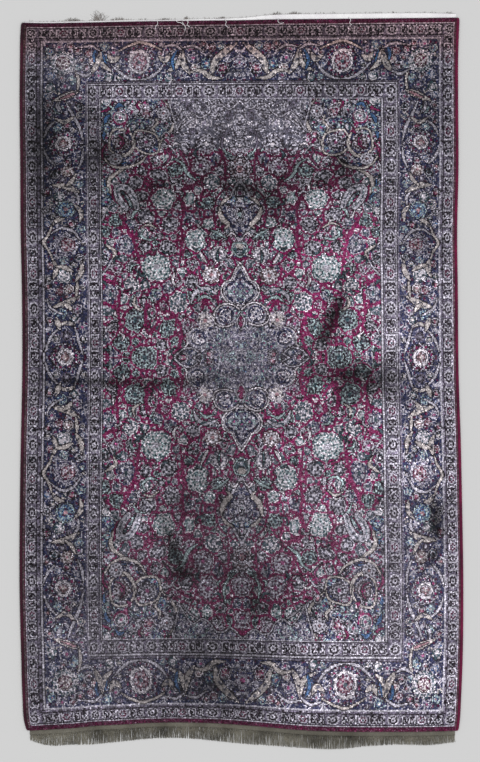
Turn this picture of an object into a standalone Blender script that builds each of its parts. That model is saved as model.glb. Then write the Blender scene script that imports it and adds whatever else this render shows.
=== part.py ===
"""Persian rug of a small hearth size, laid out flat with its pile up.

The rug lies on z = 0 with its middle at the origin. +X is its right side and +Y its plain, worn
end, with the fringed end at -Y. The pieces are the knotted cloth, the two overcast sides, the two
woven ends and what is left of the warp fringe past each of them. All sizes are in metres, and
the tables of the outline are in millimetres.
"""

import bmesh
import bpy
import numpy as np

MM = 0.001

# Thickness of each piece
CLOTH_THICKNESS = 0.007
WOVEN_END_THICKNESS = 0.003
FRINGE_THICKNESS = 0.002
FRAY_THICKNESS = 0.0015

# The pile's edge is worn round: it drops by EDGE_DROP over the last EDGE_WIDTH
EDGE_DROP = 0.0015
EDGE_WIDTH = 0.004

# The overcast side cord is a flat-bottomed oval, and its ends narrow to a share of its width
SIDE_CORD_WIDTH = 0.010
SIDE_CORD_HEIGHT = 0.006
SIDE_CORD_END_SHARE = 0.62

# The trough that an old fold left across the middle of the pile
FOLD_DEPTH = 0.001
FOLD_HALF_WIDTH = 0.026
FOLD_MIDDLE_Y = -0.002
FOLD_WANDER = 0.006
FOLD_WANDER_LENGTH = 0.35

# How far neighbouring pieces stand apart
SEAM_GAP = 0.0003

# A strand's tip is this share of its width at the root
STRAND_TIP_SHARE = 0.6

# The bottom woven end and the strands of its fringe
BOTTOM_WEB_DEPTH = 0.014
FRINGE_SPINE = 0.003
FRINGE_PITCH = 0.010
FRINGE_STRAND_WIDTH = 0.0078
FRINGE_UNEVEN = 0.0025
FRINGE_END_INSET = 0.006

# The worn fringe past the top woven end
FRAY_SPINE = 0.002
FRAY_PITCH = 0.012
FRAY_STRAND_WIDTH = 0.0050
FRAY_STUB = 0.0015
FRAY_UNEVEN = 0.25
FRAY_END_INSET = 0.012
TUFT_SLOPE = 0.8

# Half the rug's full length, from the longest strand of one end to the longest of the other
HALF_REACH = 1.1445

# Half the straight width that the columns of the cloth's grid are spread over
HALF_SPREAD = 0.660

# How fast the waviness of an end dies away towards the middle of the cloth
WAVE_FADE = 9

# How many stations each piece's curves are read at
CLOTH_COLUMNS = 20
CLOTH_ROWS = 20
FOLD_ROWS = 7
FOLD_ROWS_REACH = 1.4
CORD_STATIONS = 26
WEB_STATIONS = 26

# Edges sharper than this many degrees stay crisp where a piece is shaded smooth
CRISP_ANGLE = 40

# A woven end is never narrower than this
NARROWEST_WEB = 0.003

RANDOM_SEED = 7

# Outer edges of the two side cords, in mm: where along the rug, then how far out on each side
SIDE_COLUMNS = ("along", "left", "right")
SIDE_TABLE = (
    (-1085, 666, 672),
    (-1056, 673, 676),
    (-985, 678, 680),
    (-860, 682, 685),
    (-650, 687, 687),
    (-372, 686, 683),
    (-186, 683, 679),
    (0, 679, 673),
    (278, 680, 670),
    (464, 684, 668),
    (650, 685, 672),
    (882, 687, 671),
    (990, 686, 671),
    (1060, 685, 673),
    (1112, 682, 675),
)

# Edges across the two ends, in mm: where across the rug, then y of the top pile, of the top
# woven end, of the bottom pile and of the tips of the bottom fringe
END_COLUMNS = ("across", "top_pile", "top_web", "bottom_pile", "fringe_tips")
END_TABLE = (
    (-655, 1104, 1108, -1085, -1117),
    (-600, 1103, 1107, -1082, -1132),
    (-520, 1104, 1109, -1077, -1130),
    (-460, 1105, 1110, -1071, -1129),
    (-380, 1107, 1112, -1067, -1121),
    (-275, 1109, 1113, -1061, -1111),
    (-175, 1110, 1115, -1060, -1110),
    (-95, 1111, 1117, -1062, -1117),
    (0, 1112, 1120, -1068, -1127),
    (90, 1114, 1127, -1076, -1133),
    (185, 1115, 1129, -1084, -1140),
    (290, 1116, 1128, -1088, -1144),
    (400, 1117, 1130, -1089, -1134),
    (480, 1118, 1131, -1089, -1130),
    (590, 1119, 1131, -1088, -1131),
    (660, 1120, 1129, -1086, -1122),
)

# Tufts of loose warp that still stand past the top woven end, in mm: their middle, half their
# width, and how far the longest thread reaches
FRAY_COLUMNS = ("across", "half_width", "reach")
FRAY_TABLE = (
    (-526, 34, 10),
    (-442, 26, 32),
    (-237, 24, 5),
    (-169, 16, 11),
    (165, 40, 5),
    (640, 20, 4),
)

# Corners of half the side cord's section, as shares of its width from its outer side and of its
# height
CORD_SECTION = (
    (0.15, 0.0),
    (0.0, 0.35),
    (0.06, 0.78),
    (0.30, 1.0),
    (0.70, 1.0),
    (1.0, 0.85),
    (1.0, 0.0),
)

# Name, colour as linear red, green and blue, and roughness of each finish
FINISHES = {
    "knotted_pile": ((0.118, 0.092, 0.118), 0.85),
    "overcast_wool": ((0.078, 0.008, 0.020), 0.80),
    "bleached_web": ((0.680, 0.660, 0.680), 0.85),
    "undyed_web": ((0.130, 0.125, 0.100), 0.90),
    "loose_warp": ((0.150, 0.140, 0.115), 0.90),
}


def column(table, names, wanted):
    """Returns one column of a table in metres."""
    return np.array([row[names.index(wanted)] for row in table]) * MM


def smooth(places, known_places, known_values):
    """Reads a smooth curve through a table's points: a cubic with the mean slope at each point."""
    slopes = np.gradient(known_values, known_places)
    places = np.clip(places, known_places[0], known_places[-1])
    left = np.clip(np.searchsorted(known_places, places) - 1, 0, len(known_places) - 2)
    span = known_places[left + 1] - known_places[left]
    t = (places - known_places[left]) / span
    start = (1 + 2 * t) * (1 - t) ** 2 * known_values[left]
    start_slope = t * (1 - t) ** 2 * span * slopes[left]
    end = t**2 * (3 - 2 * t) * known_values[left + 1]
    end_slope = t**2 * (t - 1) * span * slopes[left + 1]
    return start + start_slope + end + end_slope


def side_x(side, y):
    """The outer edge of a side cord: negative on the left, positive on the right."""
    along = column(SIDE_TABLE, SIDE_COLUMNS, "along")
    out = smooth(y, along, column(SIDE_TABLE, SIDE_COLUMNS, side))
    return -out if side == "left" else out


def end_y(edge, x):
    """The y of one of the edges that run across an end."""
    across = column(END_TABLE, END_COLUMNS, "across")
    return smooth(x, across, column(END_TABLE, END_COLUMNS, edge))


def cloth_side_x(side, y):
    """The edge of the knotted cloth, just inside its side cord."""
    inward = SIDE_CORD_WIDTH + SEAM_GAP
    return side_x(side, y) + (inward if side == "left" else -inward)


def fold_depth(x, y):
    """How deep the trough of the old fold is: a cosine hump across it, wandering a little."""
    middle = FOLD_MIDDLE_Y + FOLD_WANDER * np.sin(x / FOLD_WANDER_LENGTH)
    offset = np.clip(np.abs(y - middle) / FOLD_HALF_WIDTH, 0, 1)
    return FOLD_DEPTH * 0.5 * (1 + np.cos(np.pi * offset))


def finish(name):
    """Returns the material of a finish, making it when it is first asked for."""
    material = bpy.data.materials.get(name)
    if material is None:
        colour, roughness = FINISHES[name]
        material = bpy.data.materials.new(name)
        material.use_nodes = True
        shader = material.node_tree.nodes["Principled BSDF"]
        shader.inputs["Base Color"].default_value = (*colour, 1.0)
        shader.inputs["Roughness"].default_value = roughness
        shader.inputs["Metallic"].default_value = 0.0
    return material


def add_object(name, bm, finish_name, parent):
    """Turns a bmesh into a named object with outward faces and one finish."""
    bmesh.ops.recalc_face_normals(bm, faces=bm.faces)
    mesh = bpy.data.meshes.new(name)
    bm.to_mesh(mesh)
    bm.free()
    mesh.materials.append(finish(finish_name))
    made = bpy.data.objects.new(name, mesh)
    bpy.context.scene.collection.objects.link(made)
    made.parent = parent
    return made


def shade_round(made):
    """Shades a piece smooth, apart from its crisp edges."""
    made.data.shade_smooth()
    made.data.set_sharp_from_angle(angle=np.radians(CRISP_ANGLE))


def slab(name, outline, thickness, finish_name, parent):
    """A flat piece: its outline on z = 0, extruded upwards."""
    bm = bmesh.new()
    face = bm.faces.new([bm.verts.new((x, y, 0.0)) for x, y in outline])
    raised = bmesh.ops.extrude_face_region(bm, geom=[face], use_keep_orig=True)
    upper = [item for item in raised["geom"] if isinstance(item, bmesh.types.BMVert)]
    bmesh.ops.translate(bm, vec=(0, 0, thickness), verts=upper)
    return add_object(name, bm, finish_name, parent)


def cloth_stations(count, first, last):
    """Grid stations with an extra one just inside each edge, for the pile's worn round edge."""
    inner = np.linspace(first + EDGE_WIDTH, last - EDGE_WIDTH, count)
    return np.concatenate(([first], inner, [last]))


def row_stations(bottom, top):
    """Rows of the cloth's grid, with a closer group across the old fold."""
    rows = cloth_stations(CLOTH_ROWS, bottom, top)
    reach = FOLD_ROWS_REACH * FOLD_HALF_WIDTH
    fold = FOLD_MIDDLE_Y + np.linspace(-reach, reach, FOLD_ROWS)
    clear = rows[np.abs(rows - FOLD_MIDDLE_Y) > reach + FOLD_HALF_WIDTH / 2]
    return np.sort(np.concatenate((clear, fold)))


def cloth_points():
    """The top of the cloth as a grid of points.

    Each row starts as a straight line across. The waves of the two ends are added to it, fading
    towards the middle, and its columns are shared out evenly between the two side edges.
    """
    bottom = float(end_y("bottom_pile", np.array(0.0)))
    top = float(end_y("top_pile", np.array(0.0)))
    straight_x, straight_y = np.meshgrid(
        cloth_stations(CLOTH_COLUMNS, -HALF_SPREAD, HALF_SPREAD), row_stations(bottom, top)
    )
    u = (straight_x + HALF_SPREAD) / (2 * HALF_SPREAD)
    v = (straight_y - bottom) / (top - bottom)
    bottom_wave = (end_y("bottom_pile", straight_x) - bottom) * (1 - v) ** WAVE_FADE
    top_wave = (end_y("top_pile", straight_x) - top) * v**WAVE_FADE
    y = straight_y + bottom_wave + top_wave
    left, right = cloth_side_x("left", y), cloth_side_x("right", y)
    x = left + u * (right - left)
    at_edge = (u <= 0) | (u >= 1) | (v <= 0) | (v >= 1)
    z = CLOTH_THICKNESS - EDGE_DROP * at_edge - fold_depth(x, y)
    return x, y, z


def build_cloth(parent):
    """The knotted cloth: a grid for its top, extruded down to one flat face on z = 0."""
    x, y, z = cloth_points()
    rows, columns = x.shape
    bm = bmesh.new()
    top = [[bm.verts.new((x[r, c], y[r, c], z[r, c])) for c in range(columns)] for r in range(rows)]
    for r in range(rows - 1):
        for c in range(columns - 1):
            bm.faces.new((top[r][c], top[r][c + 1], top[r + 1][c + 1], top[r + 1][c]))
    right_side, left_side = [row[-1] for row in top[:-1]], [row[0] for row in top[:0:-1]]
    rim = top[0][:-1] + right_side + top[-1][:0:-1] + left_side
    base = [bm.verts.new((vert.co.x, vert.co.y, 0.0)) for vert in rim]
    for i in range(len(rim)):
        j = (i + 1) % len(rim)
        bm.faces.new((rim[j], rim[i], base[i], base[j]))
    bm.faces.new(list(reversed(base)))
    shade_round(add_object("knotted_cloth", bm, "knotted_pile", parent))
    return x, y


def build_side_cord(side, cloth_x, cloth_y, parent):
    """An overcast side: the cord's section carried along the side of the cloth and closed."""
    edge = 0 if side == "left" else -1
    low, high = cloth_y[0, edge], cloth_y[-1, edge]
    y = np.linspace(low, high, CORD_STATIONS)
    y = np.unique(np.concatenate((cloth_y[:, edge], y[1:-1])))
    inner_x = np.interp(y, cloth_y[:, edge], cloth_x[:, edge])
    way = -1.0 if side == "left" else 1.0
    rounding = np.minimum(1, np.minimum(y - low, high - y) / SIDE_CORD_WIDTH)
    swell = np.sqrt(1 - (1 - rounding) ** 2)
    width = SIDE_CORD_WIDTH * (SIDE_CORD_END_SHARE + (1 - SIDE_CORD_END_SHARE) * swell)
    bm = bmesh.new()
    rings = []
    for i in range(len(y)):
        ring = []
        for share, height in CORD_SECTION:
            x = inner_x[i] + way * (SEAM_GAP + width[i] * (1 - share))
            ring.append(bm.verts.new((x, y[i], height * SIDE_CORD_HEIGHT)))
        rings.append(ring)
    count = len(CORD_SECTION)
    for before, after in zip(rings, rings[1:]):
        for i in range(count):
            j = (i + 1) % count
            bm.faces.new((before[i], before[j], after[j], after[i]))
    bm.faces.new(rings[0])
    bm.faces.new(list(reversed(rings[-1])))
    shade_round(add_object(f"overcast_{side}", bm, "overcast_wool", parent))


def straight_edge(cloth_x, cloth_y, row, x):
    """The end of the faceted cloth at x, so that a neighbour can follow it with an even gap."""
    return np.interp(x, cloth_x[row], cloth_y[row])


def build_web(name, finish_name, x, near, far, parent):
    """A woven end: a flat strip from the cloth out to its own outer edge."""
    outline = list(zip(x, near)) + list(zip(x[::-1], far[::-1]))
    slab(name, outline, WOVEN_END_THICKNESS, finish_name, parent)


def strand_middles(first, last, pitch):
    """Even places for the strands of a fringe, from one end of it to the other."""
    return np.linspace(first, last, 1 + round((last - first) / pitch))


def comb_outline(middles, strand_width, web_x, web_y, spine, tips):
    """A comb as one outline: a strand at each middle, then back along the web's own edge.

    The spine's sign says which way the comb points along Y, and its size is the spine's depth.
    """
    half = strand_width / 2
    first, last = middles[0] - half, middles[-1] + half
    gap = np.copysign(SEAM_GAP, spine)
    spine_y = np.interp(middles, web_x, web_y) + gap + spine
    outline = []
    for middle, root, tip in zip(middles, spine_y, tips):
        outline.append((middle - half, root))
        outline.append((middle - STRAND_TIP_SHARE * half, tip))
        outline.append((middle + STRAND_TIP_SHARE * half, tip))
        outline.append((middle + half, root))
    inside = web_x[(web_x > first) & (web_x < last)]
    for x in (last, *inside[::-1], first):
        outline.append((x, np.interp(x, web_x, web_y) + gap))
    return outline


def build_top_end(cloth_x, cloth_y, parent):
    """The worn end: a bleached woven strip and the short stubs and tufts of warp past it."""
    x = np.linspace(cloth_x[-1, 0] + SEAM_GAP, cloth_x[-1, -1] - SEAM_GAP, WEB_STATIONS)
    x = np.unique(np.concatenate((x, cloth_x[-1, 1:-1])))
    near = straight_edge(cloth_x, cloth_y, -1, x) + SEAM_GAP
    far = np.maximum(end_y("top_web", x), near + NARROWEST_WEB)
    build_web("woven_end_top", "bleached_web", x, near, far, parent)

    middles = strand_middles(x[0] + FRAY_END_INSET, x[-1] - FRAY_END_INSET, FRAY_PITCH)
    reach = np.full(len(middles), FRAY_STUB)
    for across, half_width, longest in FRAY_TABLE:
        share = np.clip(1 - np.abs(middles - across * MM) / (half_width * MM), 0, 1)
        reach = np.maximum(reach, longest * MM * share**TUFT_SLOPE)
    random = np.random.default_rng(RANDOM_SEED)
    reach *= 1 - FRAY_UNEVEN * random.random(len(middles))
    tips = np.interp(middles, x, far) + SEAM_GAP + FRAY_SPINE + reach
    tips[np.argmax(tips)] = HALF_REACH
    outline = comb_outline(middles, FRAY_STRAND_WIDTH, x, far, FRAY_SPINE, tips)
    slab("fringe_top", outline, FRAY_THICKNESS, "loose_warp", parent)


def build_bottom_end(cloth_x, cloth_y, parent):
    """The fringed end: an undyed woven strip and a comb of warp strands past it."""
    x = np.linspace(cloth_x[0, 0] + SEAM_GAP, cloth_x[0, -1] - SEAM_GAP, WEB_STATIONS)
    x = np.unique(np.concatenate((x, cloth_x[0, 1:-1])))
    near = straight_edge(cloth_x, cloth_y, 0, x) - SEAM_GAP
    far = near - BOTTOM_WEB_DEPTH
    build_web("woven_end_bottom", "undyed_web", x, near, far, parent)

    middles = strand_middles(x[0] + FRINGE_END_INSET, x[-1] - FRINGE_END_INSET, FRINGE_PITCH)
    random = np.random.default_rng(RANDOM_SEED)
    tips = end_y("fringe_tips", middles) + FRINGE_UNEVEN * random.random(len(middles))
    tips[np.argmin(tips)] = -HALF_REACH
    outline = comb_outline(middles, FRINGE_STRAND_WIDTH, x, far, -FRINGE_SPINE, tips)
    slab("fringe_bottom", outline, FRINGE_THICKNESS, "loose_warp", parent)


def main():
    for item in list(bpy.data.objects):
        bpy.data.objects.remove(item, do_unlink=True)
    rug = bpy.data.objects.new("rug", None)
    bpy.context.scene.collection.objects.link(rug)
    cloth_x, cloth_y = build_cloth(rug)
    build_side_cord("left", cloth_x, cloth_y, rug)
    build_side_cord("right", cloth_x, cloth_y, rug)
    build_top_end(cloth_x, cloth_y, rug)
    build_bottom_end(cloth_x, cloth_y, rug)


main()
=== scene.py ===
"""Looks of a persian rug laid flat: a wool pile knotted on a cotton warp.

The design is drawn first as one quarter of a cartoon on squared paper, as a weaver reads it. Each
knot of the pile then takes its dye from the cartoon's square under it, mirrored about the rug's
two middle lines. The rest is the knotted back, the overcast sides, the woven ends and the warp
that is left past them. Sizes are in metres unless a name says otherwise, and the cartoon is in
squares.
"""

import logging
import math
from collections.abc import Iterator
from dataclasses import dataclass, field
from enum import IntEnum

import bpy
import numpy as np
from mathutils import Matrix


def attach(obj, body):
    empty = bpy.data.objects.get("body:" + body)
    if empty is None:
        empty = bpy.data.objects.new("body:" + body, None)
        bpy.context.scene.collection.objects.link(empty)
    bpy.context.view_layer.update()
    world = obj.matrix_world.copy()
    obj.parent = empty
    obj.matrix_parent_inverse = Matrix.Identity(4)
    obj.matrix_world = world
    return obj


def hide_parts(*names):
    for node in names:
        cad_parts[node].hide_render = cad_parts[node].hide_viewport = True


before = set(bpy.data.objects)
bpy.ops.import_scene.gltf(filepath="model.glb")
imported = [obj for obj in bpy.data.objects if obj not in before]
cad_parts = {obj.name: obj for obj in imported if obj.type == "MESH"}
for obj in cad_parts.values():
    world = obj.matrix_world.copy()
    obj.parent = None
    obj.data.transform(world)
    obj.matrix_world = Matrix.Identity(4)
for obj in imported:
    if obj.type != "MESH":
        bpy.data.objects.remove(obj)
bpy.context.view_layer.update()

log = logging.getLogger("rug")

MM = 0.001
BODY = "root"

# Outer edges of the two side cords, in mm: where along the rug, then how far out on each side
SIDE_TABLE = (
    (-1085, 666, 672), (-1056, 673, 676), (-985, 678, 680), (-860, 682, 685), (-650, 687, 687),
    (-372, 686, 683), (-186, 683, 679), (0, 679, 673), (278, 680, 670), (464, 684, 668),
    (650, 685, 672), (882, 687, 671), (990, 686, 671), (1060, 685, 673), (1112, 682, 675),
)

# Edges across the two ends, in mm: where across, then y of the top pile, the top woven end, the
# bottom pile and the tips of the bottom fringe
END_TABLE = (
    (-655, 1104, 1108, -1085, -1117), (-600, 1103, 1107, -1082, -1132),
    (-520, 1104, 1109, -1077, -1130), (-460, 1105, 1110, -1071, -1129),
    (-380, 1107, 1112, -1067, -1121), (-275, 1109, 1113, -1061, -1111),
    (-175, 1110, 1115, -1060, -1110), (-95, 1111, 1117, -1062, -1117), (0, 1112, 1120, -1068, -1127),
    (90, 1114, 1129, -1076, -1133), (185, 1115, 1132, -1084, -1140), (290, 1116, 1133, -1088, -1144),
    (400, 1117, 1134, -1089, -1134), (480, 1118, 1135, -1089, -1130), (590, 1119, 1135, -1088, -1131),
    (660, 1120, 1133, -1086, -1122),
)


class Side(IntEnum):
    """A side of the rug, by its column in the side table."""

    LEFT = 1
    RIGHT = 2


class Edge(IntEnum):
    """A line across an end, by its column in the end table."""

    TOP_PILE = 1
    TOP_WEB = 2
    BOTTOM_PILE = 3
    FRINGE_TIPS = 4


def linear(code: str) -> tuple[float, float, float]:
    """Turns an sRGB hex colour into linear red, green and blue.

    Args:
        code: six hex digits after a number sign.

    Returns:
        The three linear shares, by the sRGB transfer curve.
    """
    shares = (int(code[i : i + 2], 16) / 255 for i in (1, 3, 5))
    return tuple(s / 12.92 if s <= 0.04045 else ((s + 0.055) / 1.055) ** 2.4 for s in shares)


def smooth(places: np.ndarray, known: np.ndarray, values: np.ndarray) -> np.ndarray:
    """Reads a smooth curve through a table: a cubic with the mean slope at each known place.

    Args:
        places: where to read the curve.
        known: the table's places, rising.
        values: the table's values there.

    Returns:
        The curve's value at each place.
    """
    slopes = np.gradient(values, known)
    places = np.clip(places, known[0], known[-1])
    left = np.clip(np.searchsorted(known, places) - 1, 0, len(known) - 2)
    span = known[left + 1] - known[left]
    t = (places - known[left]) / span
    return (
        (1 + 2 * t) * (1 - t) ** 2 * values[left]
        + t * (1 - t) ** 2 * span * slopes[left]
        + t**2 * (3 - 2 * t) * values[left + 1]
        + t**2 * (t - 1) * span * slopes[left + 1]
    )


def side_x(side: Side, y: np.ndarray) -> np.ndarray:
    """The outer edge of a side cord: negative on the left, positive on the right.

    Args:
        side: which cord.
        y: metres along.

    Returns:
        The edge's x at each y.
    """
    table = np.array(SIDE_TABLE, float) * MM
    out = smooth(y, table[:, 0], table[:, side])
    return -out if side == Side.LEFT else out


def end_y(edge: Edge, x: np.ndarray) -> np.ndarray:
    """The y of one of the edges that run across an end."""
    table = np.array(END_TABLE, float) * MM
    return smooth(x, table[:, 0], table[:, edge])


# The wool's dyes, in the order that the cartoon numbers them, and the sRGB colour of each
WOOL_COLOURS = {
    "OUTLINE": "#150e15", "NAVY": "#1e2342", "BLUE": "#36567d", "TEAL": "#2f434b", "MINT": "#8d9da1",
    "CRIMSON": "#650f40", "WINE": "#400c2a", "ROSE": "#834069", "SALMON": "#947079", "TAN": "#a79f9f",
    "IVORY": "#c2bbc4", "SILVER": "#a09ca8", "GREY": "#484753", "LILAC": "#5f5869", "BROWN": "#4e3c40",
    "SELVEDGE": "#450a2a",
}
Dye = IntEnum("Dye", list(WOOL_COLOURS), start=0)
(
    OUTLINE, NAVY, BLUE, TEAL, MINT, CRIMSON, WINE, ROSE, SALMON, TAN, IVORY, SILVER, GREY, LILAC,
    BROWN, SELVEDGE,
) = Dye
DYE_BOOK = np.array([linear(colour) for colour in WOOL_COLOURS.values()])


def curve_through(points: tuple, step: float = 0.5) -> np.ndarray:
    """A smooth curve through points: each coordinate is a cubic of the length walked so far.

    Args:
        points: two or more (u, v) places.
        step: how close together the samples are.

    Returns:
        An array of (u, v) samples.
    """
    known = np.array(points, float)
    walked = np.concatenate(([0], np.cumsum(np.hypot(*np.diff(known, axis=0).T))))
    places = np.linspace(0, walked[-1], max(3, int(walked[-1] / step)))
    return np.stack([smooth(places, walked, known[:, i]) for i in (0, 1)], axis=1)


@dataclass
class Cartoon:
    """One quarter of the design on squared paper.

    A place on it is u, squares across from the rug's middle line, and v, squares along from it.

    Args:
        width: squares from the middle line to the side.
        length: squares from the middle line to the end.
        ground: the dye that every square starts with.
        fineness: cells to a square.
    """

    width: float
    length: float
    ground: Dye = CRIMSON
    fineness: int = 2

    # Lace: how far apart its rings are, the sums at which its stitches turn light and dark, how
    # much the tendrils add to the sum, how long a petal is, how deep the rim's light and dark lines
    # reach, and the eye's share of the reach with what comes on top
    lace_pitch: float = 3.1
    lace_light: float = -0.40
    lace_dark: float = 0.80
    curl_share: float = 0.7
    petal: float = 4.2
    rim: tuple = (0.95, 1.7)
    eye: tuple = (0.15, 0.6)

    # Tendrils: the mean length of their waves, in how many directions these run, the draw's seed,
    # how near nought the sum is on a line, and how high in a heart
    curl_length: float = 5.8
    curl_ways: int = 8
    curl_seed: int = 19
    curl_line: float = 0.34
    curl_heart: float = 1.5

    # Packed flowers: how near to a middle line they show again beyond it, and how far past its
    # radius a flower is looked at
    mirror_reach: float = 14.0
    margin: float = 9.0
    cells: np.ndarray = field(init=False)
    curls: np.ndarray = field(init=False)

    def __post_init__(self) -> None:
        """Rules the paper, fills it with its ground, and works out where fine tendrils curl.

        The tendrils are the nought lines of a sum of plane waves in all directions, of nearly one
        length, scaled so that the sum's usual size is one.
        """
        self.u, self.v = (
            (np.arange(int(size * self.fineness)) + 0.5) / self.fineness
            for size in (self.width, self.length)
        )
        self.at_u, self.at_v = np.meshgrid(self.u, self.v)
        self.cells = np.full(self.at_u.shape, int(self.ground), np.int8)
        self.curls = np.zeros(self.at_u.shape)
        random = np.random.default_rng(self.curl_seed)
        for angle in np.arange(self.curl_ways) * math.pi / self.curl_ways:
            wave = math.tau / (self.curl_length * random.uniform(0.8, 1.25))
            along = self.at_u * math.cos(angle) + self.at_v * math.sin(angle)
            self.curls += np.cos(wave * along + random.uniform(0, math.tau)) / 2

    def window(self, u: float, v: float, reach: float, turn: float = 0.0) -> tuple:
        """Finds the cells round a place.

        Args:
            u: squares across.
            v: squares along.
            reach: half the window's side.
            turn: how far the window's long way is turned from the v way.

        Returns:
            The cells' slices, and each cell's offset across and along from the place.
        """
        view = tuple(
            slice(*np.searchsorted(ruled, (at - reach, at + reach)))
            for ruled, at in ((self.v, v), (self.u, u))
        )
        du, dv = self.at_u[view] - u, self.at_v[view] - v
        cos, sin = math.cos(turn), math.sin(turn)
        return view, du * cos - dv * sin, dv * cos + du * sin

    def around(self, line: np.ndarray, margin: float) -> tuple:
        """Finds the cells round a line.

        Args:
            line: (u, v) places.
            margin: how far past the line the window reaches.

        Returns:
            The cells' slices and offsets as from window, and the line's places from its middle.
        """
        low, high = line.min(0), line.max(0)
        middle = (low + high) / 2
        return *self.window(*middle, (high - low).max() / 2 + margin), line - middle

    def darts(
        self, ground: np.ndarray, count: int, random: np.random.Generator
    ) -> Iterator[tuple[float, float]]:
        """Throws darts at a part of the paper, and gives u and v of the cell that each one hits.

        Args:
            ground: which cells may be hit.
            count: how many darts.
            random: where the draws come from.

        Yields:
            Squares across and along; nothing where the part has no cell.
        """
        rows, columns = np.nonzero(ground)
        for pick in random.integers(0, len(rows), count if len(rows) else 0):
            yield self.u[columns[pick]], self.v[rows[pick]]

    def band(self, u: tuple, v: tuple, dye: Dye) -> None:
        """Fills a rectangle between two u and two v."""
        self.cells[slice(*np.searchsorted(self.v, v)), slice(*np.searchsorted(self.u, u))] = dye

    def oval(self, u: float, v: float, size: tuple, dye: Dye, turn: float = 0.0) -> None:
        """Fills an oval: cells whose turned offsets over the half sizes stay under one."""
        view, a, b = self.window(u, v, max(size) + 1, turn)
        self.cells[view][(a / size[0]) ** 2 + (b / size[1]) ** 2 < 1] = dye

    def brush(
        self, points: tuple, widths: tuple, dye: Dye, edge: float = 0.0, fleck: Dye | None = None
    ) -> None:
        """Draws a brush line: cells nearer to a curve than half the brush's width there.

        Args:
            points: places that the curve runs through.
            widths: the brush's width at even shares of the curve.
            dye: the line's dye.
            edge: how wide a dark edge stands outside the line.
            fleck: the dye of the curls that show inside the line, if any do.
        """
        line = curve_through(points)
        shares = np.linspace(0, 1, len(line)), np.linspace(0, 1, len(widths))
        half = np.interp(*shares, np.array(widths) / 2)
        view, du, dv, places = self.around(line, max(widths) + edge + 2)
        gap = np.full(du.shape, np.inf)
        for (a, b), h in zip(places, half):
            np.minimum(gap, np.hypot(du - a, dv - b) - h, out=gap)
        cells = self.cells[view]
        if edge:
            cells[gap < edge] = OUTLINE
        cells[gap < 0] = dye
        if fleck is not None:
            cells[(gap < -0.4) & (self.curls[view] > 0.75)] = fleck

    def shape(self, points: tuple, dye: Dye, rim: Dye, width: float = 1.5) -> None:
        """Fills a closed outline by the even-odd rule, and draws its rim as a brush line.

        Args:
            points: the outline's corners in order.
            dye: what fills it.
            rim: the dye of its rim.
            width: how wide the rim is.
        """
        line = curve_through((*points, points[0]), 1.0)
        view, du, dv, ends = self.around(line, 2)
        inside = np.zeros(du.shape, bool)
        for (a, b), (c, d) in zip(ends, np.roll(ends, -1, axis=0)):
            if b != d:
                crosses = (b > dv) != (d > dv)
                inside ^= crosses & (du < (c - a) * (dv - b) / (d - b) + a)
        self.cells[view][inside] = dye
        self.brush((*points, points[0]), (width,), rim, 0.8)

    def lace(self, view: tuple, room: np.ndarray, polar: tuple, dyes: tuple) -> None:
        """Works a flower in lace: dark dots in rings, half a step apart, among light stitches.

        The stitch is the sum of two waves and the tendrils. One wave runs outwards at the lace's
        pitch, and the other round the flower, six times more often in each ring than in the ring
        before. Where the sum crests there is a dot, and where it dips the wool is light. The rim
        is a light line with a dark one inside it.

        Args:
            view: the slices of the paper to work on.
            room: which of its cells the flower takes.
            polar: each cell's radius, the flower's reach there and the angle.
            dyes: light, body, dot and eye, each one dye or one for each cell.
        """
        cells, curls = self.cells[view], self.curls[view]
        radius, reach, angle = polar
        light, body, dot, eye = (np.broadcast_to(d, cells.shape) for d in dyes)
        ring = np.round(radius / self.lace_pitch)
        stitch = np.cos(math.tau * radius / self.lace_pitch) + np.cos(6 * ring * angle + 2 * ring)
        stitch = stitch + self.curl_share * curls
        inward = reach - radius
        for where, dye in (
            (room, body), (room & (stitch < self.lace_light), light),
            (room & (stitch > self.lace_dark), dot),
            (room & (radius < self.eye[0] * reach + self.eye[1]), eye),
            (room & (inward < self.rim[1]) & (curls < 1.0), dot),
            (room & (inward < self.rim[0]) & (curls > -0.5), light),
        ):
            cells[where] = dye[where]

    def flower(
        self, u: float, v: float, r: float, dyes: tuple, stretch: float = 1.0, turn: float = 0.0
    ) -> None:
        """Draws one lace flower, whose edge swings in and out once for each petal.

        Args:
            u: squares across.
            v: squares along.
            r: its half width.
            dyes: light, body, dot and eye.
            stretch: its length over its width.
            turn: how far its long way is turned from the v way.
        """
        view, a, b = self.window(u, v, r * max(1, stretch) + 2, turn)
        radius, angle = np.hypot(a, b / stretch), np.arctan2(b / stretch, a)
        petals = np.round(math.tau * r / self.petal)
        reach = r * (1 - 0.12 * (0.5 - 0.5 * np.cos(petals * angle)))
        self.cells[view][radius < reach + 0.7] = OUTLINE
        self.lace(view, radius < reach, (radius, reach, angle), dyes)

    def tendrils(self, ground: Dye, lines: tuple, heart: Dye) -> None:
        """Covers what is left of a ground with fine curled lines, and hearts in their loops.

        Args:
            ground: the dye to cover.
            lines: two dyes for the lines, which take turns by slow waves.
            heart: the dye of the hearts.
        """
        plain = self.cells == ground
        line = plain & (np.abs(self.curls) < self.curl_line)
        turns = np.sin(self.at_u / 3.1) * np.sin(self.at_v / 3.7) > 0
        self.cells[line] = np.where(turns, *lines)[line]
        self.cells[plain & (self.curls > self.curl_heart)] = heart

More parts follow.
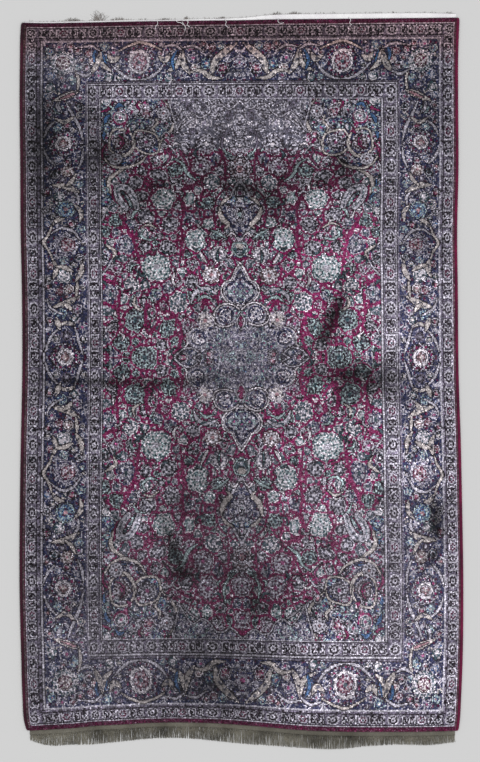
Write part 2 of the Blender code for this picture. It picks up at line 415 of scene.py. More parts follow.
    def dots(self, u: float, v: float, radii: tuple, dyes: list, size: float, turn: float) -> None:
        """Sets a ring of dots, one for each dye at an even share of a turn.

        Args:
            u: squares across.
            v: squares along.
            radii: the ring's half width and half length.
            dyes: the dots' dyes in turn.
            size: a dot's half width.
            turn: the angle of the first dot.
        """
        for k, dye in enumerate(dyes):
            angle = turn + k * math.tau / len(dyes)
            at = u + radii[0] * math.cos(angle), v + radii[1] * math.sin(angle)
            self.oval(*at, (size, size), dye)

    def dotted_rosette(self, u: float, v: float, r: float, dye: Dye) -> None:
        """Draws a pale rosette with a dark dot in each of its eight petals.

        Args:
            u: squares across.
            v: squares along.
            r: its half width.
            dye: its own dye.
        """
        view, du, dv = self.window(u, v, r + 2)
        radius = np.hypot(du, dv)
        reach = r * (0.86 + 0.14 * np.abs(np.cos(4 * np.arctan2(dv, du))))
        self.cells[view][radius < reach + 0.9] = OUTLINE
        self.cells[view][radius < reach] = dye
        self.dots(u, v, (0.62 * r, 0.62 * r), [OUTLINE] * 8, 0.9, 0.0)
        self.oval(u, v, (1.8, 1.8), OUTLINE)
        self.oval(u, v, (0.9, 0.9), SALMON)

    def ringed(self, u: float, v: float, size: tuple, dyes: tuple) -> None:
        """Draws a ringed palmette: a lace flower, an ivory ring on it, and a heart in the ring.

        Args:
            u: squares across.
            v: squares along.
            size: the ring's half width, its length over its width, and the outer flower's r.
            dyes: the heart's light, body, dot and eye.
        """
        r, stretch, outer = size
        rope = r + 2.4, (r + 2.4) * stretch
        self.flower(u, v, outer, (SILVER, NAVY, OUTLINE, IVORY), stretch)
        self.oval(u, v, rope, NAVY)
        self.dots(u, v, rope, [CRIMSON, WINE] * 7, 1.2, math.pi / 14)
        self.flower(u, v, r + 0.6, (IVORY, SILVER, GREY, IVORY), stretch)
        self.oval(u, v, (r - 1.2, (r - 1.2) * stretch), IVORY)
        self.flower(u, v, r - 2.8, dyes, stretch)

    def leaf(self, points: tuple, width: float, dye: Dye, fleck: Dye | None = None) -> None:
        """Draws a leaf: a brush line that swells to its middle and thins to both tips."""
        self.brush(points, (0.6, 0.8 * width, width, 0.7 * width, 0.5), dye, 0.9, fleck)

    def strew_leaves(self, ground: np.ndarray, count: int, dyes: tuple, seed: int) -> None:
        """Strews small curled leaves over a part of the paper: arcs of a third of a turn.

        Args:
            ground: which cells may be drawn on.
            count: how many leaves.
            dyes: the leaves' dyes, one drawn for each.
            seed: the draw's seed.
        """
        random = np.random.default_rng(seed)
        before = self.cells.copy()
        for u, v in self.darts(ground, count, random):
            r, start = random.uniform(3.0, 6.5), random.uniform(0, math.tau)
            bend = random.choice((-1, 1)) * np.array((0.0, 1.1, 2.2))
            points = [(u + r * math.cos(start + b), v + r * math.sin(start + b)) for b in bend]
            dye = dyes[int(random.integers(0, len(dyes)))]
            self.brush(points, (0.5, random.uniform(1.4, 2.4), 0.6), dye, 0.8)
        self.cells[~ground] = before[~ground]

    def is_plain(self, u: float, v: float, r: float, ground: Dye) -> bool:
        """Whether every cell within a radius still has the ground's dye."""
        view, du, dv = self.window(u, v, r)
        return du.size > 0 and bool((self.cells[view][np.hypot(du, dv) < r] == ground).all())

    def sow(self, sites: list, sizes: tuple, ground: Dye, random: np.random.Generator) -> None:
        """Adds places for small flowers to a list: darts thrown at the ground, big ones first.

        Args:
            sites: u, v, radius, stretch and turn of the flowers so far, added to.
            sizes: (radius, how many darts) pairs.
            ground: the dye that counts as plain ground.
            random: where the draws come from.
        """
        for size, count in sizes:
            for u, v in self.darts(self.cells == ground, count, random):
                placed = np.array(sites or [(-99.0, -99.0, 0.0)])
                gap = np.hypot(placed[:, 0] - u, placed[:, 1] - v) - placed[:, 2]
                if gap.min() > size and self.is_plain(u, v, 0.75 * size, ground):
                    sites.append((u, v, size, 1.0, 0.0))

    def pack(
        self, ground: Dye, sizes: tuple, palettes: tuple, channel: tuple, seed: int, fixed: tuple = (),
        swell: float = 4.0,
    ) -> None:
        """Packs what is left of a ground with flowers that swell until they nearly touch.

        Each cell belongs to the flower whose rim is nearest, and is ground where a second one is
        almost as near, so that a channel of ground runs between them all. The channel's width
        swings slowly over the paper, and the flowers' edges swing in and out as petals do.

        Args:
            ground: the dye that counts as plain ground.
            sizes: (radius, how many darts) pairs.
            palettes: light, body, dot and eye dyes, one set drawn for each sown flower.
            channel: the least and the greatest width of the channels.
            seed: the draw's seed.
            fixed: flowers that stand where they are told: u, v, half width and which of the
                palettes, then length over width and turn where these aren't 1 and 0.
            swell: how far a flower may grow past its radius.
        """
        random = np.random.default_rng(seed)
        sites = [(u, v, r, *(form or (1.0, 0.0))) for u, v, r, _, *form in fixed]
        self.sow(sites, sizes, ground, random)
        if not sites:
            return
        picks = random.integers(0, len(palettes), len(sites))
        picks[: len(fixed)] = [site[3] for site in fixed]
        kinds = np.array(palettes, int)[picks]
        phases = random.uniform(0, math.tau, len(sites))
        # A flower near a middle line shows again beyond it, so that it meets its own mirror image
        spots = []
        for i, (u, v, r, stretch, turn) in enumerate(sites):
            spots.append((i, u, v, r, stretch, turn))
            if 0.5 < u < self.mirror_reach:
                spots.append((i, -u, v, r, stretch, -turn))
            if 0.5 < v < self.mirror_reach:
                spots.append((i, u, -v, r, stretch, -turn))

        # Before a flower is found, the nearest rim is far off and the next one farther
        shape = self.cells.shape
        first, second = np.full(shape, 90.0), np.full(shape, 99.0)
        radius, angle, owner = np.full(shape, 90.0), np.zeros(shape), np.zeros(shape, int)
        for i, u, v, r, stretch, turn in spots:
            view, a, b = self.window(u, v, r * stretch + self.margin, turn)
            far = np.hypot(a, b / stretch)
            closer = far - r < first[view]
            second[view] = np.where(closer, first[view], np.minimum(second[view], far - r))
            owner[view][closer], radius[view][closer] = i, far[closer]
            angle[view][closer] = np.arctan2(b / stretch, a)[closer]
            first[view] = np.minimum(first[view], far - r)
        wave = np.sin(self.at_u / 5.3 + 2 * np.sin(self.at_v / 9.7))
        wave = wave * np.sin(self.at_v / 5.9 + self.at_u / 17)
        width = channel[0] + (channel[1] - channel[0]) * (0.5 + 0.5 * wave) ** 2
        inward = np.minimum((second - first) / 2, swell - first) - width / 2
        petals = np.round(math.tau * np.maximum(radius + inward, 0.5) / self.petal)
        inward = inward - 0.5 + 0.5 * np.cos(petals * angle + phases[owner])
        room = (self.cells == ground) & (inward > 0)
        dyes = tuple(kinds[owner, k] for k in range(4))
        whole = slice(None), slice(None)
        self.lace(whole, room, (radius, radius + inward, angle + phases[owner]), dyes)


# Light, body, dot and eye of the lace flowers that are sown on each ground
FIELD_FLOWERS = (
    (SILVER, GREY, TEAL, SILVER), (SILVER, GREY, OUTLINE, SILVER), (SILVER, GREY, OUTLINE, CRIMSON),
    (IVORY, MINT, TEAL, SILVER), (SILVER, GREY, NAVY, TEAL), (MINT, GREY, OUTLINE, TEAL),
    (SILVER, LILAC, WINE, ROSE), (IVORY, GREY, TEAL, SILVER),
)
BORDER_FLOWERS = (
    (SILVER, GREY, NAVY, SILVER), (SILVER, TEAL, OUTLINE, TAN), (SILVER, LILAC, NAVY, ROSE),
    (SILVER, WINE, OUTLINE, SALMON), (LILAC, GREY, OUTLINE, SILVER), (MINT, BLUE, NAVY, TAN),
    (SILVER, BLUE, NAVY, SILVER), (TAN, GREY, NAVY, TEAL),
)
CORNER_FLOWERS = (
    (SILVER, TEAL, CRIMSON, SILVER), (SILVER, CRIMSON, OUTLINE, ROSE), (MINT, BLUE, NAVY, ROSE),
    (SILVER, TEAL, OUTLINE, CRIMSON), (MINT, BLUE, NAVY, SILVER), (SILVER, GREY, NAVY, SILVER),
)
MEDALLION_FLOWERS = (
    (SILVER, TEAL, NAVY, SILVER), (MINT, BLUE, NAVY, LILAC), (MINT, TEAL, NAVY, ROSE),
    (SILVER, GREY, NAVY, SILVER),
)
SILVER_LACE = (IVORY, SILVER, TEAL, IVORY)
DARK_LACE = (SILVER, TEAL, OUTLINE, OUTLINE)
ROSY_LACE = (SILVER, SALMON, WINE, BROWN)
GOLD_LACE = (IVORY, TAN, BROWN, SALMON)
CRIMSON_LACE = (SILVER, CRIMSON, OUTLINE, SALMON)
BLUE_LACE = (MINT, BLUE, NAVY, SALMON)
HEART_LACE = (SILVER, SALMON, BROWN, TAN)
LILAC_LACE = (SILVER, LILAC, NAVY, ROSE)

# Large field flowers: u, v, half width and which of the palettes, then length over width and turn
# where these aren't 1 and 0
FIELD_SITES = (
    (85, 89, 15, 3), (97, 0, 13, 5), (43.5, 119, 12.5, 3), (77, 163, 11.5, 3), (107, 37, 11, 5),
    (33, 222, 11, 6), (62, 55, 9.5, 7, 1.2, 0.2), (73.5, 29, 8, 5, 1.6, -0.35), (110, 71, 8, 7),
    (115, 115, 9, 4, 1.3, 0.0), (73, 110, 9, 1), (70, 135, 9, 1), (89, 45, 4.5, 2, 1.7, -0.4),
    (119, 57, 5, 3), (96, 113, 6, 1), (93, 144, 9, 1), (51, 164, 5.5, 3, 2.3, 0.15), (33, 159, 7.5, 5),
    (28, 180, 8.5, 7), (39, 198, 10, 6), (23, 206, 4.5, 4, 2.0, 0.0), (66, 193, 7, 5), (83, 188, 8, 1),
    (55, 217, 8, 1), (53, 231, 5, 1), (34, 243, 6, 3), (0, 221, 11, 6, 0.9, 0.0), (79, 14, 7, 1),
    (120, 15, 8, 5), (128, 32, 6, 1), (132, 62, 8, 4, 1.7, 0.0), (48, 92, 6, 2), (49, 75, 7, 1),
    (124, 140, 7, 5), (100, 192, 5, 1), (0, 250, 8, 6), (50, 20, 6, 1),
)

# Channels of open ground between the field flowers, and how wide each is
FIELD_CHANNELS = (
    (((20, 42), (23, 58), (14, 76), (4, 92), (9, 106), (13, 118)), 2.6),
    (((19, 79), (28, 71), (38, 76), (41, 86), (38, 94)), 2.4), (((29, 88), (34, 100), (39, 107)), 2.2),
    (((71, 0), (63, 9), (59, 24), (65, 40)), 3.4),
    (((61, 94), (60, 108), (58, 120), (59, 136), (57, 150), (61, 164), (67, 176)), 3.6),
    (((30, 107), (30, 120), (35, 131), (46, 134), (55, 129)), 2.6),
    (((108, 84), (103, 96), (105, 110), (108, 122), (113, 134), (121, 146)), 3.2),
    (((81, 40), (86, 32), (93, 25), (96, 38), (95, 56)), 3.8),
    (((119, 78), (122, 62), (124, 42), (121, 24)), 2.6),
    (((80, 128), (84, 136), (94, 138), (101, 132)), 2.2),
    (((41, 180), (49, 190), (55, 204), (60, 216)), 3.0),
    (((14, 184), (14, 200), (18, 214), (25, 222)), 3.0),
    (((44, 232), (56, 229), (66, 222), (76, 210)), 2.6), (((46, 44), (50, 52), (43, 58)), 2.4),
    (((26, 50), (34, 57), (40, 50)), 2.2), (((40, 142), (41, 158), (38, 172)), 2.4),
    (((24, 130), (26, 146), (22, 166), (10, 176)), 2.4), (((92, 160), (88, 174), (94, 184)), 3.0),
)

# Curled leaves among the field flowers: points, width and dye
FIELD_LEAVES = (
    (((24, 62), (34, 67), (45, 63), (49, 53)), 4.6, SILVER),
    (((28, 57), (36, 60), (43, 55)), 2.6, MINT),
    (((84, 121), (92, 119), (99, 124), (96, 131)), 2.2, MINT),
    (((83, 131), (91, 136), (99, 133)), 2.0, TAN), (((33, 93), (37, 99), (40, 106)), 3.0, IVORY),
    (((12, 120), (20, 126), (30, 130)), 2.4, MINT),
    (((44, 182), (54, 190), (58, 200), (66, 206)), 3.0, MINT),
    (((108, 142), (104, 150), (96, 152)), 2.2, MINT), (((101, 46), (108, 52), (106, 60)), 2.6, TAN),
    (((126, 34), (134, 30), (139, 22)), 2.2, SILVER), (((76, 200), (70, 208), (74, 216)), 2.2, ROSE),
    (((42, 252), (52, 246), (60, 238)), 2.0, SILVER), (((64, 70), (68, 76), (66, 84)), 2.4, IVORY),
    (((12, 210), (18, 222), (16, 236)), 2.0, MINT),
)

# The side border's leaves: points, width and dye
SIDE_LEAVES = (
    (((163, 4), (167, 16), (170, 27), (172, 31)), 1.8, SILVER),
    (((199, 6), (196, 15), (192, 22), (186, 28)), 1.8, SILVER),
    (((171, 31), (180, 33), (186, 31)), 2.6, TAN), (((185, 27), (187, 33), (189, 39)), 3.4, TAN),
    (((182, 42), (188, 45), (195, 51), (197, 58)), 1.6, SILVER),
    (((191, 50), (180, 53), (166, 60)), 4.4, TAN), (((174, 46), (177, 50), (181, 53)), 3.2, TAN),
    (((169, 60), (168, 70), (168, 77)), 2.2, TAN), (((169, 76), (164, 85), (163, 96)), 3.4, TAN),
    (((191, 79), (188, 88), (191, 99)), 3.4, TAN), (((172, 86), (180, 90), (188, 91)), 3.2, TAN),
    (((191, 98), (194, 106), (199, 115), (194, 125), (190, 137)), 1.8, TAN),
    (((164, 119), (171, 128), (182, 131), (192, 125)), 1.8, SILVER),
    (((180, 141), (186, 139), (190, 134)), 3.0, TAN), (((164, 139), (163, 148), (169, 156)), 3.2, TAN),
    (((166, 157), (166, 165), (171, 172)), 1.8, SILVER),
    (((165, 170), (177, 176), (191, 178)), 4.2, TAN), (((178, 177), (173, 181), (168, 190)), 2.4, TAN),
    (((166, 196), (162, 206), (161, 218)), 1.8, SILVER),
    (((188, 200), (195, 208), (199, 218)), 1.8, SILVER),
    (((161, 227), (165, 242), (171, 254), (177, 268)), 2.2, SILVER),
    (((198, 230), (194, 240), (186, 248)), 1.8, SILVER),
    (((170, 251), (178, 246), (187, 250)), 2.6, TAN),
    (((181, 256), (185, 264), (183, 270)), 2.6, SILVER),
    (((165, 280), (174, 276), (190, 269)), 4.6, TAN),
    (((169, 278), (176, 275), (183, 272)), 1.8, SALMON),
    (((166, 281), (165, 290), (168, 300)), 1.8, TAN),
)

# The side border's flowers: u, v, half width and dyes
SIDE_FLOWERS = (
    (168, 47, 5.5, LILAC_LACE), (184, 43, 6.0, BLUE_LACE), (176, 68, 5.0, GOLD_LACE),
    (185, 66, 4.5, ROSY_LACE), (196, 71, 3.6, CRIMSON_LACE), (180, 82, 8.0, SILVER_LACE),
    (178, 114, 13.0, LILAC_LACE), (176, 114, 8.0, ROSY_LACE), (172, 135, 4.5, CRIMSON_LACE),
    (178, 151, 9.5, BLUE_LACE), (184, 165, 5.5, SILVER_LACE), (196, 150, 4.5, DARK_LACE),
    (196, 170, 4.5, CRIMSON_LACE), (176, 193, 6.5, GOLD_LACE), (188, 190, 5.0, DARK_LACE),
    (165, 187, 4.0, LILAC_LACE), (176, 203, 4.0, CRIMSON_LACE), (176, 242, 4.5, CRIMSON_LACE),
    (193, 254, 5.0, LILAC_LACE), (184, 260, 5.0, BLUE_LACE), (164, 262, 4.5, DARK_LACE),
    (192, 283, 5.0, SILVER_LACE), (178, 285, 5.0, LILAC_LACE), (165, 100, 4.5, DARK_LACE),
    (195, 36, 4.0, CRIMSON_LACE), (193, 92, 4.0, ROSY_LACE),
)

# The end border's leaves and flowers, in the same columns
END_LEAVES = (
    (((3, 329), (17, 318), (25, 309), (28, 298), (34, 294)), 4.6, TAN),
    (((18, 291), (30, 293), (37, 299), (50, 298)), 3.2, TAN),
    (((49, 296), (56, 309), (59, 325)), 4.4, TAN), (((72, 299), (62, 305), (59, 318)), 3.4, TAN),
    (((75, 307), (82, 298), (91, 292), (101, 290)), 2.0, SILVER),
    (((101, 290), (112, 292), (121, 298), (129, 306)), 2.0, SILVER),
    (((79, 322), (89, 327), (101, 330), (113, 326), (121, 321)), 1.8, TAN),
    (((70, 318), (74, 311), (81, 315)), 4.0, TAN), (((121, 315), (128, 311), (132, 318)), 4.0, TAN),
    (((65, 301), (67, 311), (63, 321)), 2.5, BLUE), (((135, 302), (136, 311), (138, 320)), 2.4, BLUE),
    (((147, 309), (148, 317), (145, 324)), 2.2, BLUE), (((130, 300), (138, 307), (141, 324)), 3.6, TAN),
    (((151, 297), (144, 307), (141, 319)), 4.4, TAN),
    (((151, 298), (159, 295), (167, 299)), 2.0, SILVER),
    (((141, 322), (150, 327), (164, 326)), 1.8, SILVER),
    (((59, 322), (66, 327), (78, 325)), 1.8, SILVER), (((36, 320), (46, 326), (58, 324)), 1.8, SILVER),
)
END_FLOWERS = (
    (17, 302, 6.5, CRIMSON_LACE), (0, 308, 9.0, LILAC_LACE), (33, 307, 6.0, BLUE_LACE),
    (46, 313, 6.5, LILAC_LACE), (44, 303, 4.0, GOLD_LACE), (68, 308, 5.0, BLUE_LACE),
    (66, 318, 4.5, DARK_LACE), (70, 292, 4.5, SILVER_LACE), (132, 293, 4.5, SILVER_LACE),
    (135, 315, 4.5, BLUE_LACE), (150, 311, 5.0, GOLD_LACE), (157, 304, 4.5, CRIMSON_LACE),
    (155, 319, 4.5, ROSY_LACE), (193, 322, 4.5, BLUE_LACE), (166, 322, 4.5, CRIMSON_LACE),
    (12, 323, 4.5, DARK_LACE), (28, 324, 4.5, ROSY_LACE), (101, 297, 3.5, CRIMSON_LACE),
)


# The corner and side cusp: outlines filled with navy, with the dye and width of each rim
SPANDREL_SHAPES = (
    (
        (
            (142, 178), (131, 178), (129, 185), (122, 191), (112, 196), (101, 202), (95, 209),
            (92, 212), (83, 213), (79, 224), (73, 231), (65, 242), (63, 250), (66, 260), (75, 269),
            (84, 278), (142, 278),
        ),
        TAN, 1.4,
    ),
    (((142, 186), (132, 178), (129, 169), (121, 161), (131, 154), (138, 140), (142, 134)), SILVER, 1.3),
    (((142, 118), (132, 112), (125, 108), (129, 96), (136, 85), (142, 78)), SILVER, 1.3),
    (
        ((80, 223), (84, 232), (93, 236), (103, 237), (107, 229), (107, 221), (101, 214), (83, 213)),
        TAN, 1.7,
    ),
    (
        (
            (107, 226), (109, 232), (116, 238), (127, 238), (131, 228), (130, 216), (122, 211),
            (112, 212),
        ),
        TAN, 1.7,
    ),
)
# Their leaves (points, width and dye) and flowers (u, v, half width and dyes)
SPANDREL_LEAVES = (
    (((113, 196), (122, 191), (129, 185), (131, 178), (128, 169), (121, 161)), 3.8, TAN),
    (((135, 183), (133, 170), (127, 162)), 2.0, BLUE),
    (((135, 114), (127, 109), (125, 107), (128, 99)), 3.0, TAN),
    (((95, 209), (100, 202), (110, 197), (122, 196), (132, 202), (137, 211)), 2.8, TAN),
    (((102, 209), (112, 202), (122, 200)), 1.6, BLUE),
    (((121, 207), (113, 211), (107, 219), (105, 228)), 3.4, TAN),
    (((126, 217), (120, 219), (117, 226), (122, 233)), 1.6, CRIMSON),
    (((54, 263), (60, 257), (64, 249), (65, 243)), 3.4, TAN),
    (((75, 269), (68, 260), (64, 250), (67, 240), (74, 230), (80, 225)), 3.4, TAN),
    (((68, 262), (67, 250), (70, 240), (78, 231)), 1.4, NAVY),
    (((84, 252), (82, 245), (87, 240), (84, 234)), 2.6, TAN),
    (((91, 250), (86, 247), (88, 242), (94, 241)), 1.6, SILVER),
    (((115, 234), (108, 240), (99, 245)), 5.0, CRIMSON),
    (((116, 263), (121, 265), (126, 261)), 3.2, BLUE),
    (((130, 255), (134, 250), (136, 244)), 3.6, BLUE),
    (((132, 240), (136, 235), (137, 228)), 3.0, BLUE),
    (((104, 250), (110, 247), (113, 241)), 2.4, TEAL), (((98, 266), (106, 262), (110, 254)), 2.4, TAN),
    (((99, 258), (103, 265), (100, 269)), 2.6, CRIMSON),
    (((127, 268), (132, 260), (139, 257)), 3.0, CRIMSON),
    (((133, 224), (138, 216), (137, 206)), 2.2, CRIMSON),
    (((136, 204), (139, 196), (138, 188)), 1.8, SILVER),
)
SPANDREL_FLOWERS = (
    (93, 256, 7.0, CRIMSON_LACE), (110, 204, 5.0, LILAC_LACE), (135, 150, 4.0, SILVER_LACE),
    (134, 268, 5.0, SILVER_LACE), (108, 258, 6.0, (SILVER, TEAL, NAVY, CRIMSON)),
    (133, 240, 4.5, BLUE_LACE), (137, 98, 6.0, DARK_LACE), (134, 172, 3.6, BLUE_LACE),
    (73, 232, 4.0, CRIMSON_LACE),
)
# Outlines of the arches over the middle of the field's end, and of what stands on the long axis
PANEL_ARCHES = (
    (62, 238), (56, 249), (49, 256), (39, 251), (33, 254), (25, 264), (18, 264), (12, 260), (1, 268),
    (-4, 276), (70, 276),
)
AXIS_DROP = (
    (-2, 184), (3, 176), (7, 169), (9, 164), (15, 160), (20, 153), (18, 146), (14, 139), (9, 132),
    (4, 125), (-2, 117),
)
PENDANT = (
    (-4, 100), (3, 90), (7, 83), (10, 77), (16, 74), (19, 69), (19, 62), (15, 56), (6, 50), (-4, 47),
)
PENDANT_HEART = ((-4, 91), (3, 83), (6, 76), (12, 72), (15, 67), (14, 61), (9, 56), (-4, 52))
MEDALLION = (
    (-4, 50), (9, 52), (19, 52), (25, 46), (26, 37), (30, 30), (38, 30), (48, 28), (54, 21), (54, 13),
    (60, 7), (67, 0), (58, -9), (-4, -9),
)


@dataclass
class QuarterDesign:
    """Draws the quarter cartoon: bands, borders, field, corners and medallion."""

    paper: Cartoon = field(default_factory=lambda: Cartoon(222, 356))

    # Where each band starts, in squares across (u) and along (v)
    field_end: tuple = (139.0, 270.0)
    inner_guard: tuple = (143.0, 155.0, 273.5, 285.5)
    main_border: tuple = (159.0, 199.0, 289.0, 331.0)
    outer_guard: tuple = (203.0, 213.0, 335.0, 346.0)
    edge_line: tuple = (216.0, 350.5)
    channel_scale: float = 0.95

    def draw(self) -> Cartoon:
        """Draws the whole quarter and returns its paper."""
        paper = self.paper
        self.draw_spandrel()
        self.draw_axis()
        self.draw_medallion()
        self.draw_boteh()
        small = ((3.8, 3000), (2.8, 5000), (2.0, 6000))
        paper.tendrils(TEAL, (MINT, SILVER), OUTLINE)
        paper.pack(LILAC, ((3.2, 900), (2.0, 2500)), MEDALLION_FLOWERS, channel=(0.1, 0.6), seed=51)
        paper.pack(NAVY, ((5.0, 900), *small), CORNER_FLOWERS, channel=(0.2, 1.2), seed=53)
        ground, before = paper.cells == CRIMSON, paper.cells.copy()
        sizes = (6.5, 900), (5.0, 2000), *small
        paper.pack(CRIMSON, sizes, FIELD_FLOWERS, channel=(0.3, 2.4), seed=57, fixed=FIELD_SITES)
        for points, width in FIELD_CHANNELS:
            wide = self.channel_scale * width
            paper.brush(points, (0.5 * wide, wide, 0.8 * wide, wide, 0.5 * wide), CRIMSON)
        paper.strew_leaves(ground, 170, (SILVER, MINT, IVORY, TEAL, CRIMSON), seed=71)
        for points, width, dye in FIELD_LEAVES:
            paper.leaf(points, width, dye, TEAL if width > 3 else None)
        paper.cells[~ground] = before[~ground]
        self.draw_bands()
        paper.tendrils(LILAC, (SILVER, NAVY), OUTLINE)
        self.draw_main_border()
        sizes = ((5.4, 900), (4.2, 2000), (3.2, 2500))
        paper.pack(NAVY, sizes, BORDER_FLOWERS, channel=(0.3, 1.2), seed=61, swell=0.6)
        paper.tendrils(NAVY, (SILVER, GREY), WINE)
        return paper

    def draw_boteh(self) -> None:
        """Draws the bent drop beside the corner: a pale hoop round a dark vein, ringed with red."""
        paper = self.paper
        paper.oval(112, 166, (15, 19), CRIMSON, 0.55)
        hoop = ((102, 154), (106, 165), (114, 174), (122, 174), (121, 164), (113, 153))
        paper.brush(hoop, (5.0, 6.5, 6.4, 6.0, 6.4, 5.5), SILVER, 1.0)
        paper.brush(hoop, (4.2, 5.6, 5.4, 5.0, 5.4, 4.6), SILVER, fleck=GREY)
        paper.brush(hoop, (0.9, 1.1, 1.0, 1.0, 1.0, 0.9), TEAL)
        paper.brush(((107, 154), (112, 163), (117, 169)), (1.5, 3.0, 2.0), TEAL, 0.8)

    def draw_spandrel(self) -> None:
        """Draws the field's corner and side cusp: lobes, roundels, arches and dotted rosettes."""
        paper = self.paper
        for outline, rim, width in SPANDREL_SHAPES:
            paper.shape(outline, NAVY, rim, width)
        paper.flower(94, 224, 9.6, (SILVER, GREY, OUTLINE, ROSE), 0.9)
        paper.flower(119, 224, 9.0, (SILVER, BROWN, OUTLINE, ROSE), 1.1)
        for points, width, dye in SPANDREL_LEAVES:
            paper.leaf(points, width, dye)
        for u, v, r, dyes in SPANDREL_FLOWERS:
            paper.flower(u, v, r, dyes)
        paper.oval(120, 251, (7.6, 7.6), CRIMSON)
        paper.oval(120, 252, (6.4, 6.4), SILVER)
        paper.flower(120, 252, 5.0, (IVORY, SILVER, TEAL, ROSE))
        for u, v in ((125, 206), (76, 256)):
            paper.dotted_rosette(u, v, 6.8, SILVER)
        paper.shape(PANEL_ARCHES, LILAC, SILVER, 1.3)

    def draw_axis(self) -> None:
        """Draws what stands on the long axis: the onion palmette, the brown one and a small one."""
        paper = self.paper
        paper.shape(AXIS_DROP, NAVY, SILVER, 1.9)
        paper.leaf(((21, 154), (20, 148), (16, 140), (11, 135), (15, 131)), 5.0, TAN)
        paper.leaf(((9, 164), (15, 161), (20, 155)), 3.0, TAN)
        paper.flower(0, 147, 12.5, (SILVER, GREY, NAVY, ROSE), 1.1)
        paper.flower(0, 146, 4, (SILVER, TEAL, OUTLINE, MINT), 1.8)
        paper.flower(0, 168, 4.6, (SILVER, LILAC, OUTLINE, ROSE), 1.5)
        paper.oval(0, 161, (1.6, 2.6), IVORY)
        paper.flower(0, 196, 11.5, (SILVER, BROWN, OUTLINE, SALMON), 1.25)
        paper.flower(0, 194, 4.5, ROSY_LACE, 1.4)
        paper.shape(((-2, 117), (5, 115), (6.5, 110), (-2, 100)), TEAL, MINT, 1.2)
        paper.oval(0, 113, (3.0, 2.6), TAN)
        paper.leaf(((2, 123), (7, 127), (12, 122)), 1.8, IVORY)
        paper.flower(21, 103, 9.0, (IVORY, SILVER, GREY, ROSE), 1.05)
        paper.leaf(((21, 95), (22, 101), (21, 108)), 2.0, TEAL)
        paper.flower(29, 81, 9, (IVORY, SILVER, BROWN, SALMON))

    def draw_medallion(self) -> None:
        """Draws the pendant and the lobed medallion with its dotted rosettes and lilac lace."""
        paper = self.paper
        paper.shape(PENDANT, SILVER, IVORY, 1.2)
        paper.shape(PENDANT_HEART, LILAC, NAVY, 1.0)
        paper.shape(MEDALLION, LILAC, IVORY, 1.2)
        for u, v in ((15.5, 42), (43, 20)):
            paper.oval(u, v, (9.6, 9.6), SILVER)
            paper.oval(u, v, (8.6, 8.6), NAVY)
            paper.flower(u, v, 6.6, (IVORY, SILVER, NAVY, NAVY))
            paper.dots(u, v, (3.9, 3.9), [NAVY] * 7, 0.9, 0.3)
        paper.shape(((0, 44), (4, 36), (0, 27), (-4, 36)), CRIMSON, SILVER, 1.0)
        for points, width, dye in (
            (((2, 47), (7, 51), (17, 53), (26, 46), (26, 35), (18, 31), (8, 33)), 1.2, IVORY),
            (((41, 4), (48, 9), (57, 8), (66, 1)), 1.1, SILVER),
            (((41, 4), (47, 0), (57, -6)), 1.1, SILVER),
        ):
            paper.brush(points, (width,), dye, 1.2)
        paper.flower(57, 0, 4.4, CRIMSON_LACE)
        paper.flower(36, 37, 9.5, (IVORY, TAN, LILAC, SALMON))
        paper.flower(32, 4, 4.6, CRIMSON_LACE)

    def draw_bands(self) -> None:
        """Draws the border's grounds and the guard lines between them, from the field outwards."""
        inner, main, outer = self.inner_guard, self.main_border, self.outer_guard
        slim = ((0, 0, OUTLINE), (0.6, 0.5, SILVER), (1.5, 1.4, OUTLINE), (2.1, 1.9, LILAC))
        wide = ((0, 0, OUTLINE), (1.0, 0.9, SILVER), (2.0, 1.8, OUTLINE), (2.8, 2.6, LILAC))
        last = ((0, 0, OUTLINE), (0.6, 0.5, SILVER), (1.6, 1.4, WINE))
        for (from_u, from_v), lines in (
            (self.field_end, wide), (inner[::2], ((0, 0, GREY),)), (inner[1::2], slim),
            (main[::2], ((-0.4, -0.4, OUTLINE), (0, 0, NAVY))), (main[1::2], slim),
            (outer[::2], ((-0.6, -0.6, OUTLINE), (0, 0, GREY))), (outer[1::2], last),
            (self.edge_line, ((0, 0, SELVEDGE),)),
        ):
            for more_u, more_v, dye in lines:
                side_dye = BROWN if dye == SELVEDGE else dye
                self.paper.band((from_u + more_u, math.inf), (0, math.inf), side_dye)
                self.paper.band((0, math.inf), (from_v + more_v, math.inf), dye)

    def draw_main_border(self) -> None:
        """Draws palmettes, forked leaves and vines along the side, then the same across the end."""
        paper = self.paper
        for u, v, r, dyes in SIDE_FLOWERS:
            paper.flower(u, v, r, dyes)
        self.draw_border_leaves(SIDE_LEAVES)
        for v, r in ((0, 8.5), (223, 8.0)):
            paper.ringed(180, v, (r, 1.0, r + 6), HEART_LACE)
        for u, v, r, dyes in END_FLOWERS:
            paper.flower(u, v, r, dyes)
        paper.ringed(101, 309, (11.5, 1.15, 16), (SILVER, SALMON, WINE, TEAL))
        self.draw_border_leaves(END_LEAVES)
        paper.flower(180, 309, 13, (IVORY, SILVER, TEAL, ROSE))
        paper.flower(180, 309, 7, (TAN, IVORY, WINE, BROWN))

    def draw_border_leaves(self, leaves: tuple) -> None:
        """Draws a border's leaves: grey threads run through the broad ones.

        Args:
            leaves: points, width and dye of each leaf.
        """
        for points, width, dye in leaves:
            slim = 1.05 * width
            widths = (1.2, 1.1 * slim, 1.3 * slim, slim, 0.8)
            self.paper.brush(points, widths, dye, 0.9, GREY if width > 2.5 else None)


